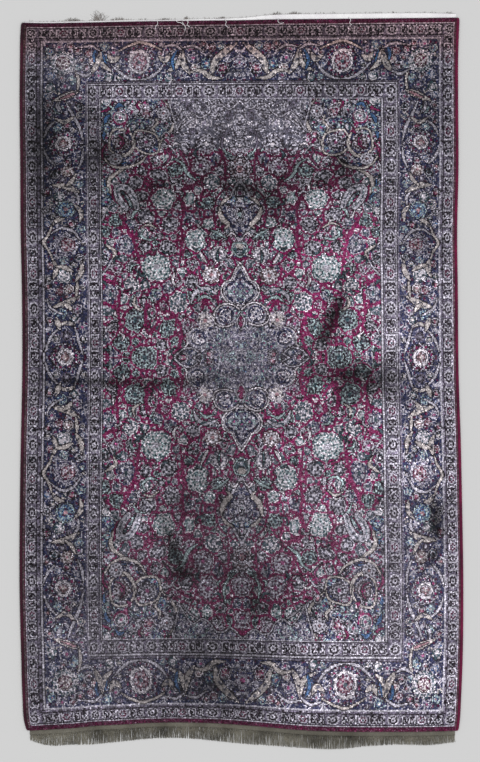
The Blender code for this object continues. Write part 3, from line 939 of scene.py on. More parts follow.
@dataclass
class GuardDesign:
    """One repeat of a guard stripe: a big pale disc, hooks and buds, and a small pale disc."""

    repeat: float = 60.0
    width: float = 12.0
    fineness: int = 2

    def draw(self) -> np.ndarray:
        """Draws the repeat with some of the next one at each end, and cuts it out."""
        paper = Cartoon(self.repeat * 2, self.width, LILAC, self.fineness)
        paper.tendrils(LILAC, (SILVER, GREY), OUTLINE)
        middle, top = self.width / 2, self.width - 1.0
        for start in (0.0, self.repeat, 2 * self.repeat):
            for u, size, dots, ring, dot, dye in (
                (start, (6.4, 5.8), [OUTLINE] * 8, (3.7, 1.35, 0.2), 1.1, OUTLINE),
                (start + self.repeat / 2, (4.6, 4.8), [WINE] * 6, (2.7, 1.2, 0.0), 1.0, TEAL),
            ):
                paper.oval(u, middle, size, SILVER)
                paper.dots(u, middle, (ring[0], ring[0]), dots, *ring[1:])
                paper.oval(u, middle, (dot, dot), dye)
            for side in (-1, 1):
                for place in (9.4, 16.6, 22.8):
                    u = start + side * place
                    hook = (
                        (u + side * 2.4, 1.2), (u, 1.8), (u + side * 0.7, middle), (u, top - 0.8),
                        (u + side * 2.4, top - 0.2),
                    )
                    paper.brush(hook, (1.3,), SILVER, 0.7)
                for place, r, dye in ((12.8, 2.2, TEAL), (19.8, 2.0, WINE)):
                    dyes = (SILVER, dye, OUTLINE, dye)
                    paper.flower(start + side * place, middle, r, dyes, 1.5)
        last = int(self.repeat * self.fineness)
        half = last // 2
        return np.concatenate((paper.cells[:, last : last + half], paper.cells[:, half:last]), 1)


@dataclass
class KnotGrid:
    """The pile's grid of knots between the rug's four edges.

    Args:
        columns: knots across.
        rows: knots along.
    """

    columns: int
    rows: int
    thickness: float = 0.007
    edge_drop: float = 0.0015
    cord_width: float = 0.010
    seam_gap: float = 0.0003
    half_spread: float = 0.660
    wave_fade: int = 9
    fold_depth: float = 0.001
    fold_half_width: float = 0.026
    fold_wander: float = 0.006
    fold_wander_length: float = 0.35
    fold_middle: float = -0.002
    end_columns: int = 430
    x: np.ndarray = field(init=False)
    y: np.ndarray = field(init=False)
    z: np.ndarray = field(init=False)
    straight_y: np.ndarray = field(init=False)

    def __post_init__(self) -> None:
        """Places the knots' corners.

        A row starts straight. The ends' waves are added, fading as a power of the distance, and
        its columns are shared out evenly between the two side edges. The height is the pile's,
        less a cosine trough for the old fold and a drop at the worn edge.
        """
        bottom = float(end_y(Edge.BOTTOM_PILE, np.array(0.0)))
        top = float(end_y(Edge.TOP_PILE, np.array(0.0)))
        u, v = np.meshgrid(np.linspace(0, 1, self.columns + 1), np.linspace(0, 1, self.rows + 1))
        straight_x = (2 * u - 1) * self.half_spread
        straight_y = bottom + v * (top - bottom)
        y = straight_y + (end_y(Edge.BOTTOM_PILE, straight_x) - bottom) * (1 - v) ** self.wave_fade
        y = y + (end_y(Edge.TOP_PILE, straight_x) - top) * v**self.wave_fade
        inward = self.cord_width + self.seam_gap
        left, right = side_x(Side.LEFT, y) + inward, side_x(Side.RIGHT, y) - inward
        x = left + u * (right - left)
        middle = self.fold_middle + self.fold_wander * np.sin(x / self.fold_wander_length)
        offset = np.clip(np.abs(y - middle) / self.fold_half_width, 0, 1)
        trough = self.fold_depth * 0.5 * (1 + np.cos(np.pi * offset))
        at_edge = (u <= 0) | (u >= 1) | (v <= 0) | (v >= 1)
        self.x, self.y = x, y
        self.z = self.thickness - trough - self.edge_drop * at_edge
        self.straight_y = straight_y

    def end_line(self, row: int) -> tuple:
        """Returns x at even steps along an end row, 1 mm in from its corners, and y there."""
        x = np.linspace(self.x[row, 0] + MM, self.x[row, -1] - MM, self.end_columns)
        return x, np.interp(x, self.x[row], self.y[row])

    def knot_places(self) -> tuple:
        """Returns x, y, straight y, and share across, at each knot's middle."""
        share = np.broadcast_to(
            (np.arange(self.columns) + 0.5) / self.columns, (self.rows, self.columns)
        )
        return tuple(
            (a[:-1, :-1] + a[1:, :-1] + a[:-1, 1:] + a[1:, 1:]) / 4
            for a in (self.x, self.y, self.straight_y)
        ) + (share,)


# Where the bands start, in mm inwards from the cloth's edge on each side, and the cartoon's square
# there, counted from the middle line
LEFT_BANDS = (
    (0, 221), (6, 216), (12, 213), (42, 203), (63, 199), (192, 159), (203, 155), (231, 143), (242, 139),
)
RIGHT_BANDS = (
    (0, 220), (3, 216), (8, 213), (37, 203), (50, 199), (170, 159), (183, 155), (217, 143), (232, 139),
)
TOP_BANDS = (
    (0, 355), (10, 348.5), (18, 346), (50, 335), (64, 331), (186, 289), (199, 285.5), (238, 273.5),
    (245, 270), (538, 168), (765, 89),
)
BOTTOM_BANDS = (
    (0, 355), (11, 348.5), (18, 346), (49, 335), (64, 331), (203, 289), (222, 285.5), (259, 273.5),
    (267, 270), (602, 168), (864, 89),
)

# The rug's middle lines, in metres: where u and v are nought
MIDDLE_X = -0.0015
MIDDLE_Y = 0.069

# Along each side: y in mm, and how many guard repeats have gone by since the top left rosette
GUARD_RUN = ((1110, -1.05), (879, 0.0), (219, 3.0), (-412, 6.0), (-834, 8.0), (-1090, 9.2))


# The washed-out panel at the top of the field: half its width and where it starts, in squares, and
# what each dye in turn has become there
PANEL_U = 66.0
PANEL_V = 217.0
PANEL_DYES = (
    OUTLINE, OUTLINE, GREY, GREY, LILAC, GREY, OUTLINE, IVORY, SILVER, SILVER, IVORY, SILVER, GREY,
    GREY, BROWN, WINE,
)


@dataclass
class KnotPlan:
    """Gives each knot its dye: finds its square of the cartoon, wanders a little, and reads it."""

    grid: KnotGrid
    end_repeat: float = 59.8

    def squares(self) -> tuple:
        """Finds each knot's place on the cartoon.

        Across, the bands are spaced by each side's own table, and likewise along by each end's.
        Between them the squares are shared out evenly to the middle line.

        Returns:
            u and v in squares, and the two signs that say which quarter a knot is in.
        """
        x, y, straight_y, share = self.grid.knot_places()
        left, right = self.grid.x[:, 0].mean(), self.grid.x[:, -1].mean()
        flat_x = left + share * (right - left)
        u = np.where(
            flat_x < MIDDLE_X, self.from_edge(flat_x - left, MIDDLE_X - left, LEFT_BANDS),
            self.from_edge(right - flat_x, right - MIDDLE_X, RIGHT_BANDS),
        )
        top, bottom = self.grid.straight_y[-1, 0], self.grid.straight_y[0, 0]
        v = np.where(
            straight_y > MIDDLE_Y, self.from_edge(top - straight_y, top - MIDDLE_Y, TOP_BANDS),
            self.from_edge(straight_y - bottom, MIDDLE_Y - bottom, BOTTOM_BANDS),
        )
        return u, v, flat_x < MIDDLE_X, straight_y > MIDDLE_Y

    @staticmethod
    def from_edge(inward: np.ndarray, whole: float, bands: tuple) -> np.ndarray:
        """Reads the bands' table inwards from an edge, then runs evenly to the middle line."""
        known = np.array((*bands, (whole / MM, 0)), float)
        return np.interp(inward, known[:, 0] * MM, known[:, 1])

    def wander(self, u: np.ndarray, v: np.ndarray, x: np.ndarray, y: np.ndarray) -> tuple:
        """Adds the small unevenness of handwork: a sum of slow waves that differ by quarter.

        Args:
            u: squares across.
            v: squares along.
            x: metres across, which differ between the quarters.
            y: metres along.

        Returns:
            The wandered u and v.
        """
        du = 0.7 * np.sin(x / 0.061 + 2.1 * np.sin(y / 0.11)) + 0.4 * np.sin(y / 0.037 + x / 0.09)
        dv = 0.7 * np.sin(y / 0.053 + 1.7 * np.sin(x / 0.13)) + 0.4 * np.sin(x / 0.029 - y / 0.08)
        return np.abs(u + du), np.abs(v + dv)

    def dyes(self) -> np.ndarray:
        """Reads the dye of every knot.

        The borders are read where they are ruled, and the field wanders. The guard stripes come
        last: one repeat follows the next, down each side by its own table and out along each end.

        Returns:
            The dyes, rows by columns.
        """
        x, y, _, _ = self.grid.knot_places()
        u, v, on_left, on_top = self.squares()
        design = QuarterDesign()
        cartoon = design.draw()
        at_u, at_v = self.wander(u, v, x, y)
        bands = u > design.field_end[0] - 1, v > design.field_end[1] - 1
        at_u, at_v = np.where(bands[0], u, at_u), np.where(bands[1], v, at_v)
        rows = np.clip((at_v * cartoon.fineness).astype(int), 0, cartoon.cells.shape[0] - 1)
        columns = np.clip((at_u * cartoon.fineness).astype(int), 0, cartoon.cells.shape[1] - 1)
        found = cartoon.cells[rows, columns].copy()
        faded = on_top & (u < PANEL_U) & (v > PANEL_V) & (v < design.field_end[1])
        found[faded] = np.array(PANEL_DYES)[found[faded]]
        run = np.array(GUARD_RUN)
        down = np.interp(-y, -run[:, 0] * MM, run[:, 1])
        out = np.where(on_left, -u, u) / self.end_repeat + 0.5
        repeat = GuardDesign().draw()
        for from_u, to_u, from_v, to_v in (design.inner_guard, design.outer_guard):
            for place, across, length in (
                ((u >= from_u) & (u < to_u) & (v < to_v), (u - from_u) / (to_u - from_u), down),
                ((v >= from_v) & (v < to_v) & (u < to_u), (v - from_v) / (to_v - from_v), out),
            ):
                row = (across[place] * repeat.shape[0]).astype(int)
                column = (length[place] * repeat.shape[1]).astype(int) % repeat.shape[1]
                found[place] = repeat[row, column]
        return found


def bell(x: np.ndarray, y: np.ndarray, spot: tuple) -> np.ndarray:
    """A spot's share at each place: its share times e to minus the scaled distance squared.

    Args:
        x: metres across.
        y: metres along.
        spot: middle x and y and two half sizes, all in mm, the share in the middle, and the turn
            in degrees where it has one.

    Returns:
        The share at each place.
    """
    at_x, at_y, half_x, half_y, share, *turned = spot
    turn = math.radians(sum(turned))
    dx, dy = x / MM - at_x, y / MM - at_y
    across = (dx * math.cos(turn) + dy * math.sin(turn)) / half_x
    along = (dy * math.cos(turn) - dx * math.sin(turn)) / half_y
    return share * np.exp(-(across**2) - along**2)


@dataclass
class NapShade:
    """How light the pile looks from place to place, painted into the knots' colour: painted shade
    and light where the nap lies away from or towards the light, painted shade of the old fold,
    worn places and old stains.

    The spots take light away or, below nought, give it. The hazes add a painted silvery sheen over
    washed-out tips, and the baths change the red's strength. All three are lists of bells.
    """

    spots: tuple = (
        # Painted shade where the pile lies away from the light, and stains
        (-600, 760, 100, 190, 0.16), (-612, 740, 50, 200, 0.4), (-560, 560, 90, 60, 0.2),
        (-437, 700, 90, 50, 0.42, 30), (-460, 800, 50, 50, 0.24), (-275, 780, 80, 60, 0.2, -20),
        (-265, 575, 165, 100, 0.33), (-95, 680, 110, 45, 0.2, -10), (15, 590, 110, 32, 0.5, -12),
        (95, 515, 70, 50, 0.24), (-60, 480, 140, 50, 0.16), (320, 665, 42, 60, 0.36, 20),
        (240, 615, 220, 55, 0.2), (450, 945, 140, 90, 0.2), (250, 930, 130, 70, 0.14),
        (600, 840, 70, 220, 0.28), (577, 460, 60, 110, 0.22), (0, 1070, 800, 45, 0.29),
        (-100, 1064, 90, 50, 0.12), (-30, 45, 150, 80, 0.12), (284, 196, 26, 98, 0.66, -26),
        (262, 128, 26, 24, 0.3), (-213, -512, 18, 88, 0.5, 20), (-190, -596, 52, 24, 0.38, -5),
        (-205, -670, 50, 50, 0.2), (38, -684, 15, 62, 0.3, -6), (0, -604, 200, 9, 0.2),
        (-190, -405, 40, 40, 0.14), (-375, -450, 24, 70, 0.34, 12), (-110, -500, 190, 380, 0.27),
        (-170, -210, 70, 80, 0.18), (85, -670, 115, 120, 0.25), (-90, -940, 200, 125, 0.35),
        (-120, -780, 150, 100, 0.12), (-430, -680, 100, 130, 0.14), (-430, -930, 220, 60, 0.14),
        (-530, -530, 120, 190, 0.13), (491, -670, 45, 45, 0.12), (600, -435, 24, 75, 0.56),
        (575, -540, 40, 30, 0.24),
        # Painted shade of the fold across the middle
        (-410, -8, 270, 15, 0.46, -1), (-120, 4, 120, 14, 0.26, 6), (110, 2, 90, 12, 0.22, 4),
        (320, 12, 88, 40, 0.5, -6), (430, 0, 100, 50, 0.34),
        # Painted light where the pile leans to the light
        (400, 190, 170, 130, -0.18), (220, 230, 60, 70, -0.14), (280, 420, 110, 100, -0.1),
        (530, -80, 90, 450, -0.12), (404, 105, 45, 40, -0.12), (-463, 284, 45, 40, -0.12),
        (470, -230, 80, 90, -0.24), (250, -280, 100, 150, -0.12), (330, -840, 190, 110, -0.24),
        (570, -740, 90, 220, -0.12), (220, -990, 90, 60, -0.34), (520, -1016, 140, 40, -0.14),
        (-400, -1030, 300, 35, -0.1), (190, 750, 150, 22, -0.13, 4), (-320, 895, 100, 75, -0.12),
        (-330, 440, 70, 60, -0.08), (-40, 310, 60, 50, -0.14), (-333, -459, 35, 60, -0.22, 20),
        (345, -455, 30, 60, -0.18, -20),
    )
    hazes: tuple = (
        (-330, -700, 260, 240, 0.08), (0, 60, 210, 130, 0.16), (0, 820, 250, 90, 0.16),
        (470, -640, 200, 300, 0.12), (520, 300, 200, 500, 0.06), (-460, -860, 200, 160, 0.16),
        (0, -960, 500, 90, 0.1), (0, -480, 420, 300, 0.13), (-540, 960, 100, 60, 0.22),
        (-317, 985, 60, 50, 0.2), (300, 430, 120, 120, 0.04),
    )
    baths: tuple = (
        (0, 610, 420, 170, -0.54), (330, 420, 130, 130, 0.35), (250, 130, 130, 200, 0.22),
        (-260, 300, 160, 160, -0.2), (-100, -560, 260, 110, -0.25), (0, -800, 260, 70, 0.1),
        (330, -250, 140, 180, 0.15),
    )

    # The painted sheen's haze where there is no bell, the painted light at four places across, how
    # much slow waves of painted light change it, where the brown cast starts, how soon it is whole,
    # and its shares of red, green and blue
    base_haze: float = 0.012
    slope_x: tuple = (-0.65, -0.3, 0.3, 0.65)
    slope_light: tuple = (0.85, 0.94, 0.97, 1.03)
    painted_light_waves: float = 0.03
    brown_from: float = 0.985
    brown_run: float = 0.05
    brown_shares: tuple = (1.12, 0.88, 0.84)

    # Small marks of painted wrinkle shade and light, and of worn places: how many, how strong, and
    # the draw's seed
    marks: int = 170
    mark_spread: float = 0.10
    seed: int = 83

    def at(self, x: np.ndarray, y: np.ndarray) -> np.ndarray:
        """Paints light and shade: multiplies the slope from left to right by each spot's bell and by
        slow waves.

        Args:
            x: metres across.
            y: metres along.

        Returns:
            How light the pile looks there.
        """
        waves = (
            np.sin(x / 0.043 + 1.9 * np.sin(y / 0.077))
            + np.sin(y / 0.031 + 2.3 * np.sin(x / 0.11))
            + np.sin(x / 0.019 - y / 0.023 + 2.0 * np.sin(y / 0.19))
        )
        light = np.interp(x, self.slope_x, self.slope_light) * (1 + self.painted_light_waves * waves)
        for spot in self.spots:
            light = light * (1 - bell(x, y, spot))
        return light * self.wrinkle_shade_and_wear(x, y)

    def wrinkle_shade_and_wear(self, x: np.ndarray, y: np.ndarray) -> np.ndarray:
        """Strews small soft marks, light and dark, each a bell in a window of three half sizes: painted
        shade and light of small wrinkles, and worn places.

        Args:
            x: metres across.
            y: metres along.

        Returns:
            What the marks leave of the light.
        """
        random = np.random.default_rng(self.seed)
        light = np.ones(x.shape)
        across, along = x.mean(0), y.mean(1)
        for _ in range(self.marks):
            at_x, at_y = random.uniform(-0.64, 0.64), random.uniform(-1.06, 1.06)
            half_x, half_y = random.uniform(0.008, 0.05), random.uniform(0.006, 0.035)
            mark = np.array((at_x, at_y, half_x, half_y)) / MM
            part = tuple(
                slice(*np.searchsorted(line, (at - 3 * half, at + 3 * half)))
                for line, at, half in ((along, at_y, half_y), (across, at_x, half_x))
            )
            share = random.normal(0, self.mark_spread)
            light[part] *= 1 + bell(x[part], y[part], (*mark, share))
        return light

    def tint(self, y: np.ndarray) -> np.ndarray:
        """The brown cast of the top border: nought below it, whole at the edge."""
        return np.clip((y - self.brown_from) / self.brown_run, 0, 1)

    def bath(self, x: np.ndarray, y: np.ndarray) -> np.ndarray:
        """How strong the red is: one, and a bell for each place where its dye bath changed."""
        return 1 + sum(bell(x, y, spot) for spot in self.baths)

    def haze(self, x: np.ndarray, y: np.ndarray) -> np.ndarray:
        """How much painted silvery sheen and washed-out tip shows: a base share and a bell for each
        such place.
        """
        return self.base_haze + sum(bell(x, y, spot) for spot in self.hazes)


def add_node(
    tree: bpy.types.NodeTree, kind: str, links: dict | None = None, **settings: object
) -> bpy.types.Node:
    """Adds a node, sets its properties and inputs, and links it.

    Args:
        tree: the material's node tree.
        kind: the node's type name.
        links: input name or number to a socket that feeds it.
        **settings: a property of the node, or "in_" and an input's name with _ for a space.

    Returns:
        The new node.
    """
    node = tree.nodes.new(kind)
    for name, value in settings.items():
        if name.startswith("in_"):
            node.inputs[name[3:].replace("_", " ")].default_value = value
        else:
            setattr(node, name, value)
    for place, socket in (links or {}).items():
        tree.links.new(socket, node.inputs[place])
    return node


@dataclass(frozen=True)
class Finish:
    """A finish: its name, roughness, sheen and gloss. Each kind makes its own colour and relief."""

    name: str
    roughness: float
    sheen: float
    sheen_roughness: float = 0.5
    specular: float = 0.15

    def shader(self) -> tuple:
        """Starts the material.

        Returns:
            The material, its node tree and its Principled node.
        """
        material = bpy.data.materials.new(self.name)
        material.use_nodes = True
        tree = material.node_tree
        principled = tree.nodes["Principled BSDF"]
        for name, value in (
            ("Roughness", self.roughness), ("Sheen Weight", self.sheen),
            ("Sheen Roughness", self.sheen_roughness), ("Specular IOR Level", self.specular),
        ):
            principled.inputs[name].default_value = value
        return material, tree, principled


@dataclass(frozen=True)
class KnottedWool(Finish):
    """Hand-knotted wool pile, cut and worn: matt, with a dull silky sheen along the nap.

    The eye gets a fine grain of light and dark tuft tips over the dyed pattern.
    """

    tuft: float = 0.0026
    grain_low: float = 0.80
    grain_high: float = 1.22

    def make(self) -> bpy.types.Material:
        """Multiplies each knot's own colour by two sizes of grain, and raises the tuft tips."""
        material, tree, principled = self.shader()
        knot = add_node(tree, "ShaderNodeAttribute", attribute_name="knot")
        place = add_node(tree, "ShaderNodeTexCoord")
        # Tuft tips are about 1 mm, drawn at the size of a whole knot so that they show
        grain = add_node(
            tree, "ShaderNodeTexNoise", {"Vector": place.outputs["Object"]}, in_Scale=1 / self.tuft,
            in_Detail=2.0, in_Roughness=0.7,
        )
        spread = add_node(
            tree, "ShaderNodeMapRange", {"Value": grain.outputs["Fac"]}, in_From_Min=0.3,
            in_From_Max=0.7, in_To_Min=self.grain_low, in_To_Max=self.grain_high,
        )
        tone = add_node(
            tree, "ShaderNodeVectorMath", {0: knot.outputs["Color"], "Scale": spread.outputs["Result"]},
            operation="SCALE",
        )
        tree.links.new(tone.outputs["Vector"], principled.inputs["Base Color"])
        raised = add_node(
            tree, "ShaderNodeBump", {"Height": grain.outputs["Fac"]}, in_Strength=0.5,
            in_Distance=0.0008,
        )
        tree.links.new(raised.outputs["Normal"], principled.inputs["Normal"])
        return material


@dataclass(frozen=True)
class YarnFinish(Finish):
    """Spun yarn, wrapped or woven: a base colour with slubs and a ribbed relief.

    The eye gets the ribs of the yarn and a slow drift of dye along it.
    """

    colour: str = "#808080"
    dark: str = "#404040"
    rib: float = 0.003
    slubs: float = 260.0
    drifts: float = 14.0
    turns: tuple = (0.10, 0.42)

    def make(self) -> bpy.types.Material:
        """Mixes two tones by fine slubs, and raises bands at the yarn's spacing."""
        material, tree, principled = self.shader()
        place = add_node(tree, "ShaderNodeTexCoord")
        slub = add_node(
            tree, "ShaderNodeTexNoise", {"Vector": place.outputs["Object"]}, in_Scale=self.slubs,
            in_Detail=4.0, in_Roughness=0.75,
        )
        drift = add_node(
            tree, "ShaderNodeTexNoise", {"Vector": place.outputs["Object"]}, in_Scale=self.drifts,
            in_Detail=2.0,
        )
        mixed = add_node(
            tree, "ShaderNodeMath", {0: slub.outputs["Fac"], 1: drift.outputs["Fac"]},
            operation="MULTIPLY",
        )
        ramp = add_node(tree, "ShaderNodeValToRGB", {"Fac": mixed.outputs["Value"]})
        tones = self.dark, self.colour
        for stop, position, tone in zip(ramp.color_ramp.elements, self.turns, tones):
            stop.position, stop.color = position, (*linear(tone), 1)
        tree.links.new(ramp.outputs["Color"], principled.inputs["Base Color"])
        rib = add_node(
            tree, "ShaderNodeTexWave", {"Vector": place.outputs["Object"]},
            in_Scale=math.tau / 20 / self.rib, in_Distortion=1.2, in_Detail_Scale=2.0,
        )
        raised = add_node(
            tree, "ShaderNodeBump", {"Height": rib.outputs["Fac"]}, in_Strength=0.6, in_Distance=0.0006,
        )
        tree.links.new(raised.outputs["Normal"], principled.inputs["Normal"])
        return material


@dataclass(frozen=True)
class MattPaint(Finish):
    """Matt wall paint on the studio floor: one pale, even tone."""

    colour: str = "#d2d2d2"

    def make(self) -> bpy.types.Material:
        """Sets the paint's colour."""
        material, _, principled = self.shader()
        principled.inputs["Base Color"].default_value = (*linear(self.colour), 1)
        return material


def build_mesh(
    name: str, points: np.ndarray, faces: list, material: bpy.types.Material
) -> bpy.types.Object:
    """Makes a mesh object at the origin from points and faces.

    Args:
        name: the piece's name.
        points: (n, 3) places in metres.
        faces: arrays of vertex numbers, each (m, 3) or (m, 4), or lists for faces of more sides.
        material: its finish.

    Returns:
        The object, linked into the scene.
    """
    loops, counts = [], []
    for group in faces:
        group = np.atleast_2d(np.asarray(group))
        loops.append(group.ravel())
        counts.append(np.full(len(group), group.shape[1]))
    loops, counts = np.concatenate(loops), np.concatenate(counts)
    mesh = bpy.data.meshes.new(name)
    mesh.vertices.add(len(points))
    mesh.vertices.foreach_set("co", np.asarray(points, np.float32).ravel())
    mesh.loops.add(len(loops))
    mesh.loops.foreach_set("vertex_index", loops.astype(np.int32))
    mesh.polygons.add(len(counts))
    starts = np.concatenate(([0], np.cumsum(counts)[:-1]))
    mesh.polygons.foreach_set("loop_start", starts.astype(np.int32))
    mesh.update(calc_edges=True)
    mesh.validate()
    mesh.materials.append(material)
    made = bpy.data.objects.new(name, mesh)
    bpy.context.scene.collection.objects.link(made)
    return made


def add_piece(
    name: str, shape: tuple, material: bpy.types.Material, node: str | None = None
) -> bpy.types.Object:
    """Builds a piece, puts it on the rug's one body, and reports it.

    Args:
        name: the piece's name.
        shape: its points and face groups.
        material: its finish.
        node: the CAD node that it replaces, if any.

    Returns:
        The piece.
    """
    piece = build_mesh(name, *shape, material)
    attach(piece, BODY)
    if node:
        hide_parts(node)
    log.info("%s: %d faces", name, len(piece.data.polygons))
    return piece


def colour_faces(made: bpy.types.Object, colours: np.ndarray) -> None:
    """Gives the first faces their knot colours and the others the first colours' mean.

    Args:
        made: the mesh object.
        colours: linear red, green and blue of each knot.
    """
    mesh, known = made.data, colours.reshape(-1, 3)
    values = np.ones((len(mesh.polygons), 4), np.float32)
    values[:, :3] = known.mean(0)
    values[: len(known), :3] = known
    layer = mesh.attributes.new("knot", "FLOAT_COLOR", "FACE")
    layer.data.foreach_set("color", values.ravel())


# Rows that the underside's end face takes in, so that its far side clears the end's waves
END_ROWS = 15


def closed_slab(x: np.ndarray, y: np.ndarray, z: np.ndarray, base: float, flip: bool) -> tuple:
    """Closes a grid into a thin slab: the grid, a rim down to a flat side, and that side's faces.

    The flat side of a grid with many rows is cut into long faces from side to side, and one face
    at each end that reaches past the end's waves. That of a narrow strip follows its grid.

    Args:
        x: the grid's x, rows by columns.
        y: the grid's y.
        z: the grid's z.
        base: z of the flat side.
        flip: whether the grid looks down and the flat side is above it.

    Returns:
        Points and face groups, the grid's own faces first.
    """
    rows, columns = x.shape
    number = np.arange(rows * columns).reshape(rows, columns)
    grid = np.stack(
        (number[:-1, :-1], number[:-1, 1:], number[1:, 1:], number[1:, :-1]), axis=-1
    ).reshape(-1, 4)
    rim = np.concatenate((number[0, :-1], number[:-1, -1], number[-1, :0:-1], number[:0:-1, 0]))
    points = np.stack((x.ravel(), y.ravel(), z.ravel()), axis=1)
    narrow = rows < 3 * END_ROWS
    kept = number.ravel() if narrow else rim
    low = points[kept] * (1, 1, 0) + (0, 0, base)
    lookup = np.zeros(rows * columns, int)
    lookup[kept] = rows * columns + np.arange(len(kept))
    onward = np.roll(rim, -1)
    walls = np.stack((onward, rim, lookup[rim], lookup[onward]), axis=1)
    if narrow:
        groups = [grid, walls, lookup[grid[:, ::-1]]]
    else:
        deep, left, right = END_ROWS, lookup[number[:, 0]], lookup[number[:, -1]]
        runs = left[deep:-deep], right[deep:-deep]
        long_faces = np.stack((runs[0][:-1], runs[0][1:], runs[1][1:], runs[1][:-1]), axis=1)
        first = np.concatenate((lookup[number[0, ::-1]], left[1 : deep + 1], right[deep:0:-1]))
        last = np.concatenate((lookup[number[-1]], right[-2 : -deep - 2 : -1], left[-deep - 1 : -1]))
        groups = [grid, walls, long_faces, first[None], last[None]]
    if flip:
        groups = [g[:, ::-1] for g in groups]
    return np.concatenate((points, low)), groups


@dataclass
class Pile:
    """The wool pile: a dense grid of knots, cut lengthwise into lanes that keep each mesh light."""

    grid: KnotGrid
    lanes: int = 5
    base: float = 0.0010

    # How far knots stand low and aside, how much their tone differs singly, by patches and by rows,
    # how much the painted silvery sheen of the tips differs and its colour, and how strongly the
    # painted light and shade of the nap counts
    unevenness: float = 0.00042
    shift: float = 0.00035
    tone_spread: float = 0.40
    patch_spread: float = 0.22
    row_spread: float = 0.055
    tip_spread: float = 0.085
    sheen_tip_colour: str = "#8d8794"
    depth: float = 2.2
    seed: int = 5

    def colours(self) -> np.ndarray:
        """Gives each knot the colour of its wool: dye, mixed with painted silvery sheen, times painted
        nap light and shade, times a spread of its own.
        """
        x, y, _, _ = self.grid.knot_places()
        random = np.random.default_rng(self.seed)
        dyes = KnotPlan(self.grid).dyes()
        rows, columns = x.shape
        patch = random.normal(0, self.patch_spread, (rows // 2 + 1, columns // 2 + 1))
        patch = np.repeat(np.repeat(patch, 2, axis=0), 2, axis=1)[:rows, :columns]
        tone = np.exp(random.normal(0, self.tone_spread, x.shape) + patch)
        tone *= np.exp(random.normal(0, self.row_spread, (rows, 1)))
        shade = NapShade()
        # Painted light and shade of the nap, the fold and small wrinkles, times each knot's own tone
        light = shade.at(x, y) ** self.depth * tone
        # Painted silvery sheen on the tips, with a random spread for each knot
        tip = np.clip(shade.haze(x, y) + random.normal(0, self.tip_spread, x.shape), 0, 0.85)
        silver = np.array(linear(self.sheen_tip_colour))
        red = np.isin(dyes, (CRIMSON, WINE, ROSE))
        bath = np.where(red, shade.bath(x, y), 1.0)[..., None]
        # Each dye, its red bath, and the painted silvery sheen mixed in
        worn = DYE_BOOK[dyes] * bath * (1 - tip[..., None]) + silver * tip[..., None]
        brown = (shade.tint(y) * (dyes != SELVEDGE))[..., None]
        worn = worn * (1 - brown + brown * np.array(shade.brown_shares))
        return worn * light[..., None]

    def build(self, finish: bpy.types.Material) -> list:
        """Builds the lanes, with a small random shift and drop at each corner of a knot.

        Args:
            finish: the knotted wool.

        Returns:
            The lanes from left to right.
        """
        random = np.random.default_rng(self.seed + 1)
        shape = self.grid.x.shape
        inner = np.zeros(shape)
        inner[1:-1, 1:-1] = 1
        x = self.grid.x + self.shift * random.uniform(-1, 1, shape) * inner
        y = self.grid.y + self.shift * random.uniform(-1, 1, shape) * inner
        z = self.grid.z - self.unevenness * np.abs(random.normal(0, 1, shape))
        colours = self.colours()
        lanes = []
        edges = np.linspace(0, self.grid.columns, self.lanes + 1).astype(int)
        for k, (start, stop) in enumerate(zip(edges, edges[1:]), 1):
            part = slice(start, stop + 1)
            slab = closed_slab(x[:, part], y[:, part], z[:, part], self.base, False)
            node = None if lanes else "knotted_cloth"
            lanes.append(add_piece(f"pile_lane_{k}", slab, finish, node))
            colour_faces(lanes[-1], colours[:, start:stop])
        return lanes


@dataclass
class Foundation:
    """The knotted back under the pile, where the same design shows flatter and duller."""

    grid: KnotGrid
    top: float = 0.0009
    ridge: float = 0.0003
    dullness: float = 0.5
    cotton: str = "#8c8478"
    tone_spread: float = 0.15
    seed: int = 9

    def build(self, finish: bpy.types.Material) -> bpy.types.Object:
        """Builds the back: a grid that faces down, raised a little at random at each corner, under a
        flat side.

        Args:
            finish: the knotted wool.

        Returns:
            The back.
        """
        random = np.random.default_rng(self.seed)
        dyes = KnotPlan(self.grid).dyes()
        tone = np.exp(random.normal(0, self.tone_spread, dyes.shape))[..., None]
        cotton = np.array(linear(self.cotton))
        colours = (DYE_BOOK[dyes] * (1 - self.dullness) + cotton * self.dullness) * tone
        z = self.ridge * random.uniform(0, 1, self.grid.x.shape)
        z[0], z[-1], z[:, 0], z[:, -1] = 0, 0, 0, 0
        slab = closed_slab(self.grid.x, self.grid.y, z, self.top, True)
        made = add_piece("knotted_back", slab, finish)
        colour_faces(made, colours)
        return made


def tubes(lines: np.ndarray, radii: np.ndarray, sides: int, flatness: float = 1.0) -> tuple:
    """Carries a round section along many lines at once.

    Each ring lies across its line in the plane of the line's own normal and the upward way. Both
    ends are closed with one face, and nothing reaches under the floor.

    Args:
        lines: (strands, stations, 3) places.
        radii: the half width at each station.
        sides: corners of the section.
        flatness: the section's height over its width.

    Returns:
        Points and face groups.
    """
    strands, stations, _ = lines.shape
    way = np.gradient(lines, axis=1)
    way /= np.linalg.norm(way, axis=2, keepdims=True)
    aside = np.stack((way[..., 1], -way[..., 0], np.zeros(way.shape[:2])), axis=2)
    aside /= np.maximum(np.linalg.norm(aside, axis=2, keepdims=True), 1e-9)
    above = np.cross(aside, way)
    angle = np.arange(sides) / sides * math.tau + math.pi / 4
    ring = (
        aside[:, :, None] * np.cos(angle)[:, None] + above[:, :, None] * np.sin(angle)[:, None] * flatness
    )
    points = lines[:, :, None] + ring * radii[:, None, None]
    points[..., 2] = np.maximum(points[..., 2], 0.0)
    number = np.arange(strands * stations * sides).reshape(strands, stations, sides)
    onward = np.roll(number, -1, axis=2)
    walls = np.stack((number[:, :-1], onward[:, :-1], onward[:, 1:], number[:, 1:]), axis=-1)
    return points.reshape(-1, 3), [walls.reshape(-1, 4), number[:, 0, ::-1], number[:, -1]]


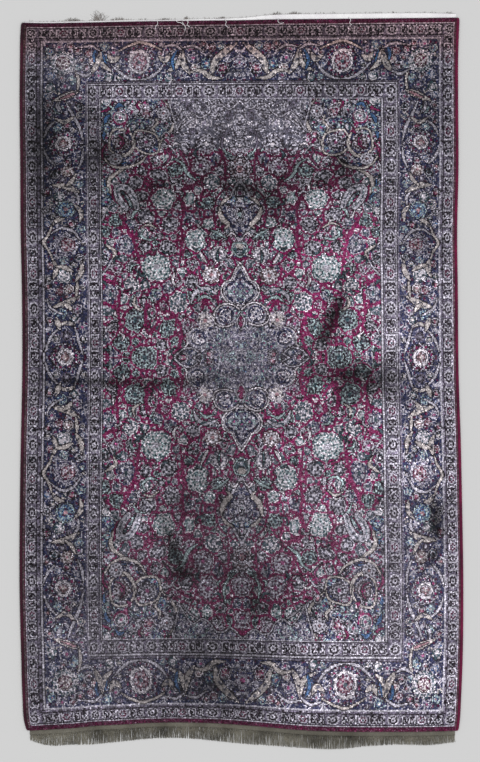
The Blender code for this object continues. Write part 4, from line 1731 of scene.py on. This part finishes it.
@dataclass
class SideCord:
    """An overcast side: wool wrapped closely round the outermost warps, as a flat-bottomed cord."""

    grid: KnotGrid
    side: Side
    width: float = 0.0102
    height: float = 0.0060
    wrap: float = 0.0048
    wrap_depth: float = 0.00022
    end_share: float = 0.62
    rings: int = 1380
    corners: int = 8

    def build(self, finish: bpy.types.Material) -> bpy.types.Object:
        """Builds the cord: an oval section carried along the cloth's edge, swelling at each wrap.

        Args:
            finish: its yarn.

        Returns:
            The cord.
        """
        edge, way = (0, -1.0) if self.side == Side.LEFT else (-1, 1.0)
        y = np.linspace(self.grid.y[0, edge], self.grid.y[-1, edge], self.rings)
        inner = np.interp(y, self.grid.y[:, edge], self.grid.x[:, edge])
        ends = np.minimum(y - y[0], y[-1] - y) / self.width
        share = self.end_share + (1 - self.end_share) * np.sqrt(1 - (1 - np.clip(ends, 0, 1)) ** 2)
        half = self.width / 2 * share
        angle = (np.arange(self.corners) + 0.5) / self.corners * math.tau
        swell = self.wrap_depth * np.cos(math.tau * y[:, None] / self.wrap + angle)
        across = inner[:, None] + way * (half[:, None] * (1 + np.cos(angle)) + swell * np.cos(angle))
        middle = self.height / 2
        up = middle + (middle - self.wrap_depth) * np.sin(angle) * share[:, None] + swell
        up = np.maximum(up, 0)
        points = np.stack((across, np.broadcast_to(y[:, None], across.shape), up), axis=2)
        number = np.arange(points.shape[0] * self.corners).reshape(-1, self.corners)
        onward = np.roll(number, -1, axis=1)
        walls = np.stack((number[:-1], number[1:], onward[1:], onward[:-1]), axis=-1)
        groups = [walls.reshape(-1, 4), number[:1], number[-1:, ::-1]]
        if way < 0:
            groups = [g[:, ::-1] for g in groups]
        node = f"overcast_{self.side.name.lower()}"
        shape = points.reshape(-1, 3), groups
        return add_piece(f"{node}_wool", shape, finish, node)


@dataclass
class WovenEnd:
    """A woven end: the warps and plain wefts that hold the last row of knots."""

    name: str
    slot: str
    node: str
    x: np.ndarray
    near: np.ndarray
    far: np.ndarray
    rows: int = 6
    thickness: float = 0.0028
    weave: float = 0.0004
    seed: int = 31

    def build(self, finish: bpy.types.Material) -> bpy.types.Object:
        """Builds the strip between its two edges, with a plain weave's checker of highs and lows.

        Args:
            finish: its cotton.

        Returns:
            The strip.
        """
        share = np.linspace(0, 1, self.rows)[:, None]
        low, high = (self.near, self.far) if self.far[0] > self.near[0] else (self.far, self.near)
        y = low + share * (high - low)
        x = np.broadcast_to(self.x, y.shape)
        checker = (np.add.outer(np.arange(self.rows), np.arange(len(self.x))) % 2) * self.weave
        random = np.random.default_rng(self.seed)
        z = self.thickness - checker - self.weave * random.uniform(0, 1, y.shape)
        return add_piece(self.name, closed_slab(x, y, z, 0.0, False), finish, self.node)


@dataclass
class Fringe:
    """The warps left past the bottom end: short twisted strands, side by side in two layers."""

    x: np.ndarray
    root: np.ndarray
    pitch: float = 0.0028
    radius: float = 0.00135

    # How uneven the tips are, how far a strand leans and sways, how far it starts under the end's
    # edge, and how thin its tip is
    uneven: float = 0.0030
    lean: float = 0.0014
    sway: float = 0.0006
    hold: float = 0.001
    tip_share: float = 0.55
    corners: int = 4
    flatness: float = 0.8
    stations: int = 5
    seed: int = 41

    def build(self, finish: bpy.types.Material) -> bpy.types.Object:
        """Builds every strand at once: a line from root to tip that leans and waves a little.

        Args:
            finish: its cotton.

        Returns:
            The strands, as one mesh.
        """
        random = np.random.default_rng(self.seed)
        across = np.arange(self.x[0] + self.radius, self.x[-1] - self.radius, self.pitch)
        layers = []
        for layer in range(2):
            x = across + layer * self.pitch / 2 + random.uniform(-0.3, 0.3, len(across)) * self.pitch
            x = np.clip(x, self.x[0] + self.radius, self.x[-1] - self.radius)
            root = np.interp(x, self.x, self.root) + self.hold
            tip = end_y(Edge.FRINGE_TIPS, x) + self.uneven * random.uniform(0, 1, len(x)) ** 2
            t = np.linspace(0, 1, self.stations)
            lean = self.lean * random.normal(0, 1, (len(x), 1)) * t**1.5
            sway = self.sway * np.sin(math.tau * (t + random.uniform(0, 1, (len(x), 1))))
            y = root[:, None] + (tip - root)[:, None] * t
            z = self.radius * (1 + 0.55 * layer) * (1 - 0.35 * layer * t) * np.ones_like(y)
            layers.append(np.stack((x[:, None] + lean + sway, y, z), axis=2))
        lines = np.concatenate(layers)
        taper = self.radius * np.linspace(1, self.tip_share, self.stations)
        strands = tubes(lines, taper, self.corners, self.flatness)
        return add_piece("warp_fringe", strands, finish, "fringe_bottom")


# Tufts of loose warp past the top woven end, in mm: their middle, half their width, and how far
# the longest thread reaches
FRAY_TABLE = (
    (-526, 44, 12), (-442, 34, 33), (-380, 40, 12), (-237, 24, 7), (-169, 16, 12), (-60, 30, 6),
    (110, 22, 10), (165, 40, 9), (640, 20, 6),
)


@dataclass
class Fray:
    """What is left of the top fringe: thin curled threads past the end, most of them short."""

    x: np.ndarray
    root: np.ndarray
    threads: int = 520
    radius: float = 0.0005
    stations: int = 6

    # How many threads stand outside the tufts, curl and lean as shares of a thread's reach, how far
    # it starts under the end's edge, how high it lifts, and how thin its tip is
    stray_share: float = 0.35
    curl: float = 0.25
    lean: float = 0.5
    hold: float = 0.002
    lift: float = 0.0012
    tip_share: float = 0.6
    corners: int = 3
    reach_limit: float = 1.1445
    seed: int = 43

    def build(self, finish: bpy.types.Material) -> bpy.types.Object:
        """Builds the threads: each rises from the end to its tuft's reach, in a random curl.

        Args:
            finish: its cotton.

        Returns:
            The threads, as one mesh.
        """
        random = np.random.default_rng(self.seed)
        table = np.array(FRAY_TABLE, float) * MM
        tuft = random.choice(len(table), self.threads, p=table[:, 1] / table[:, 1].sum())
        spread = np.clip(random.normal(0, 0.45, self.threads), -1, 1)
        stray = random.random(self.threads) < self.stray_share
        x = table[tuft, 0] + spread * table[tuft, 1]
        x = np.where(stray, random.uniform(self.x[0] + 0.01, self.x[-1] - 0.01, self.threads), x)
        reach = table[tuft, 2] * (1 - np.abs(spread)) * random.uniform(0.45, 1.1, self.threads)
        reach = np.where(stray, random.uniform(0.001, 0.006, self.threads), reach)
        t = np.linspace(0, 1, self.stations)
        turn = random.uniform(0, math.tau, (self.threads, 1))
        curl = self.curl * reach[:, None] * np.sin(turn + 5 * t) * t
        lean = random.normal(0, self.lean, (self.threads, 1)) * reach[:, None] * t
        root = np.interp(x, self.x, self.root) - self.hold
        y = root[:, None] + (self.hold + reach)[:, None] * (t + 0.1 * np.sin(turn + 4 * t) * t)
        y = np.minimum(y, self.reach_limit - self.radius)
        z = self.radius + self.lift * np.abs(np.sin(turn + 3 * t)) + 0 * y
        lines = np.stack((x[:, None] + curl + lean, y, z), axis=2)
        taper = self.radius * np.linspace(1, self.tip_share, self.stations)
        strands = tubes(lines, taper, self.corners)
        return add_piece("frayed_warps", strands, finish, "fringe_top")


# Pulled warps that lie on the pile at the top end: places in mm
PULLED_WARPS = (
    ((-262, 1112), (-259, 1101), (-265, 1092), (-266, 1083)),
    ((-184, 1113), (-181, 1102), (-174, 1092), (-175, 1079)),
    ((-172, 1113), (-165, 1106), (-168, 1098), (-160, 1090)),
    ((-205, 1112), (-196, 1105), (-188, 1104), (-180, 1098)),
    ((-52, 1115), (-47, 1106), (-50, 1098), (-42, 1090)),
    ((118, 1118), (112, 1110), (120, 1102), (131, 1104)),
    ((330, 1121), (338, 1112), (334, 1104), (341, 1097)),
)


@dataclass
class PulledWarps:
    """A few warps pulled out of the top end, which lie in bends over the edge of the pile."""

    radius: float = 0.0008
    rest: float = 0.0075
    start: float = 0.0030
    corners: int = 5
    stations: int = 9

    def build(self, finish: bpy.types.Material) -> bpy.types.Object:
        """Builds the threads, each along a smooth curve that rises from the end onto the pile.

        Args:
            finish: its cotton.

        Returns:
            The threads, as one mesh.
        """
        lines = []
        for points in PULLED_WARPS:
            line = curve_through(points)
            line = line[np.linspace(0, len(line) - 1, self.stations).astype(int)] * MM
            rise = np.clip(np.linspace(0, 4, self.stations), 0, 1)
            z = self.start + (self.rest - self.start) * rise
            lines.append(np.column_stack((line, z)))
        strands = tubes(np.array(lines), np.full(self.stations, self.radius), self.corners)
        return add_piece("pulled_warps", strands, finish)


@dataclass
class Studio:
    """The floor, the soft light and the camera that looks straight down."""

    frame_height: float = 2.359
    middle: tuple = (-0.0046, -0.0039)
    lens: float = 85.0
    sensor: float = 36.0
    sky: float = 0.72
    sun: float = 0.28
    sun_tilt: float = math.radians(38)
    sun_turn: float = math.radians(35)
    sun_breadth: float = math.radians(50)
    floor_half: float = 8.0
    floor_drop: float = 0.0002

    def build(self) -> None:
        """Builds the floor, lights and camera."""
        paint = MattPaint("matt_paint", roughness=0.9, sheen=0.0, specular=0.0)
        corners = np.array(((-1, -1, 0), (1, -1, 0), (1, 1, 0), (-1, 1, 0))) * self.floor_half
        floor = build_mesh("floor", corners - (0, 0, self.floor_drop), [[(0, 1, 2, 3)]], paint.make())
        world = bpy.data.worlds.new("studio")
        world.use_nodes = True
        world.node_tree.nodes["Background"].inputs["Color"].default_value = (1, 1, 1, 1)
        world.node_tree.nodes["Background"].inputs["Strength"].default_value = self.sky
        scene = bpy.context.scene
        scene.world = world
        lamp = bpy.data.lights.new("soft_key", "SUN")
        lamp.energy = self.sun * math.pi / math.cos(self.sun_tilt)
        lamp.angle = self.sun_breadth
        key = bpy.data.objects.new("soft_key", lamp)
        key.rotation_euler = (self.sun_tilt, 0, self.sun_turn)
        scene.collection.objects.link(key)
        camera = bpy.data.cameras.new("camera")
        camera.lens, camera.sensor_width = self.lens, self.sensor
        held = bpy.data.objects.new("camera", camera)
        distance = self.frame_height * self.lens / self.sensor
        held.location = (*self.middle, distance)
        scene.collection.objects.link(held)
        scene.camera = held
        scene.view_settings.view_transform = "Standard"


# Knots drawn across and along, on the pile and on its back
PILE_KNOTS = (485, 795)
BACK_KNOTS = (158, 258)

# The least depth of the top woven end, and the depth of the bottom one
TOP_DEPTH = 0.003
BOTTOM_DEPTH = 0.014

# Cotton yarns: name, colour, the dark of its slubs, and how far apart its ribs are. The bleached one
# gives the eye a pale strip, the loose one dull stubs, the undyed one a grey-brown band with dark
# specks, and the twisted one drab strands with dark between them
COTTONS = (
    ("bleached_cotton", "#ffffff", "#e3dfe4", 0.0030), ("loose_warp", "#aca49f", "#5a524c", 0.0020),
    ("undyed_cotton", "#77746a", "#4f4c44", 0.0030), ("twisted_warp", "#8c887b", "#302e28", 0.0016),
)


def main() -> None:
    """Builds the rug and its studio."""
    Studio().build()
    grid = KnotGrid(*PILE_KNOTS)
    wool = KnottedWool("hand_knotted_wool", roughness=0.9, sheen=0.06).make()
    lanes = Pile(grid).build(wool)
    back = Foundation(KnotGrid(*BACK_KNOTS)).build(wool)

    for side, colour, dark in ((Side.LEFT, "#48122a", "#1c0812"), (Side.RIGHT, "#781440", "#3c0a26")):
        name = f"overcast_wool_yarn_{int(side)}"
        yarn = YarnFinish(
            name, roughness=0.8, sheen=0.2, colour=colour, dark=dark, rib=SideCord.wrap
        ).make()
        SideCord(grid, side).build(yarn)

    bleached, loose, undyed, twisted = (
        YarnFinish(name, roughness=0.9, sheen=0.1, colour=colour, dark=dark, rib=rib).make()
        for name, colour, dark, rib in COTTONS
    )
    x, near = grid.end_line(-1)
    far = np.maximum(end_y(Edge.TOP_WEB, x), near + TOP_DEPTH)
    top_web = WovenEnd("bleached_web", "web_bleached", "woven_end_top", x, near, far).build(bleached)
    fray = Fray(x, far).build(loose)
    pulled = PulledWarps().build(bleached)
    x, near = grid.end_line(0)
    far = near - BOTTOM_DEPTH
    bottom_web = WovenEnd("undyed_web", "web_undyed", "woven_end_bottom", x, near, far).build(undyed)
    fringe = Fringe(x, far).build(twisted)

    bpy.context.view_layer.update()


if __name__ == "__main__":
    logging.basicConfig(level=logging.INFO, format="%(message)s")
    main()
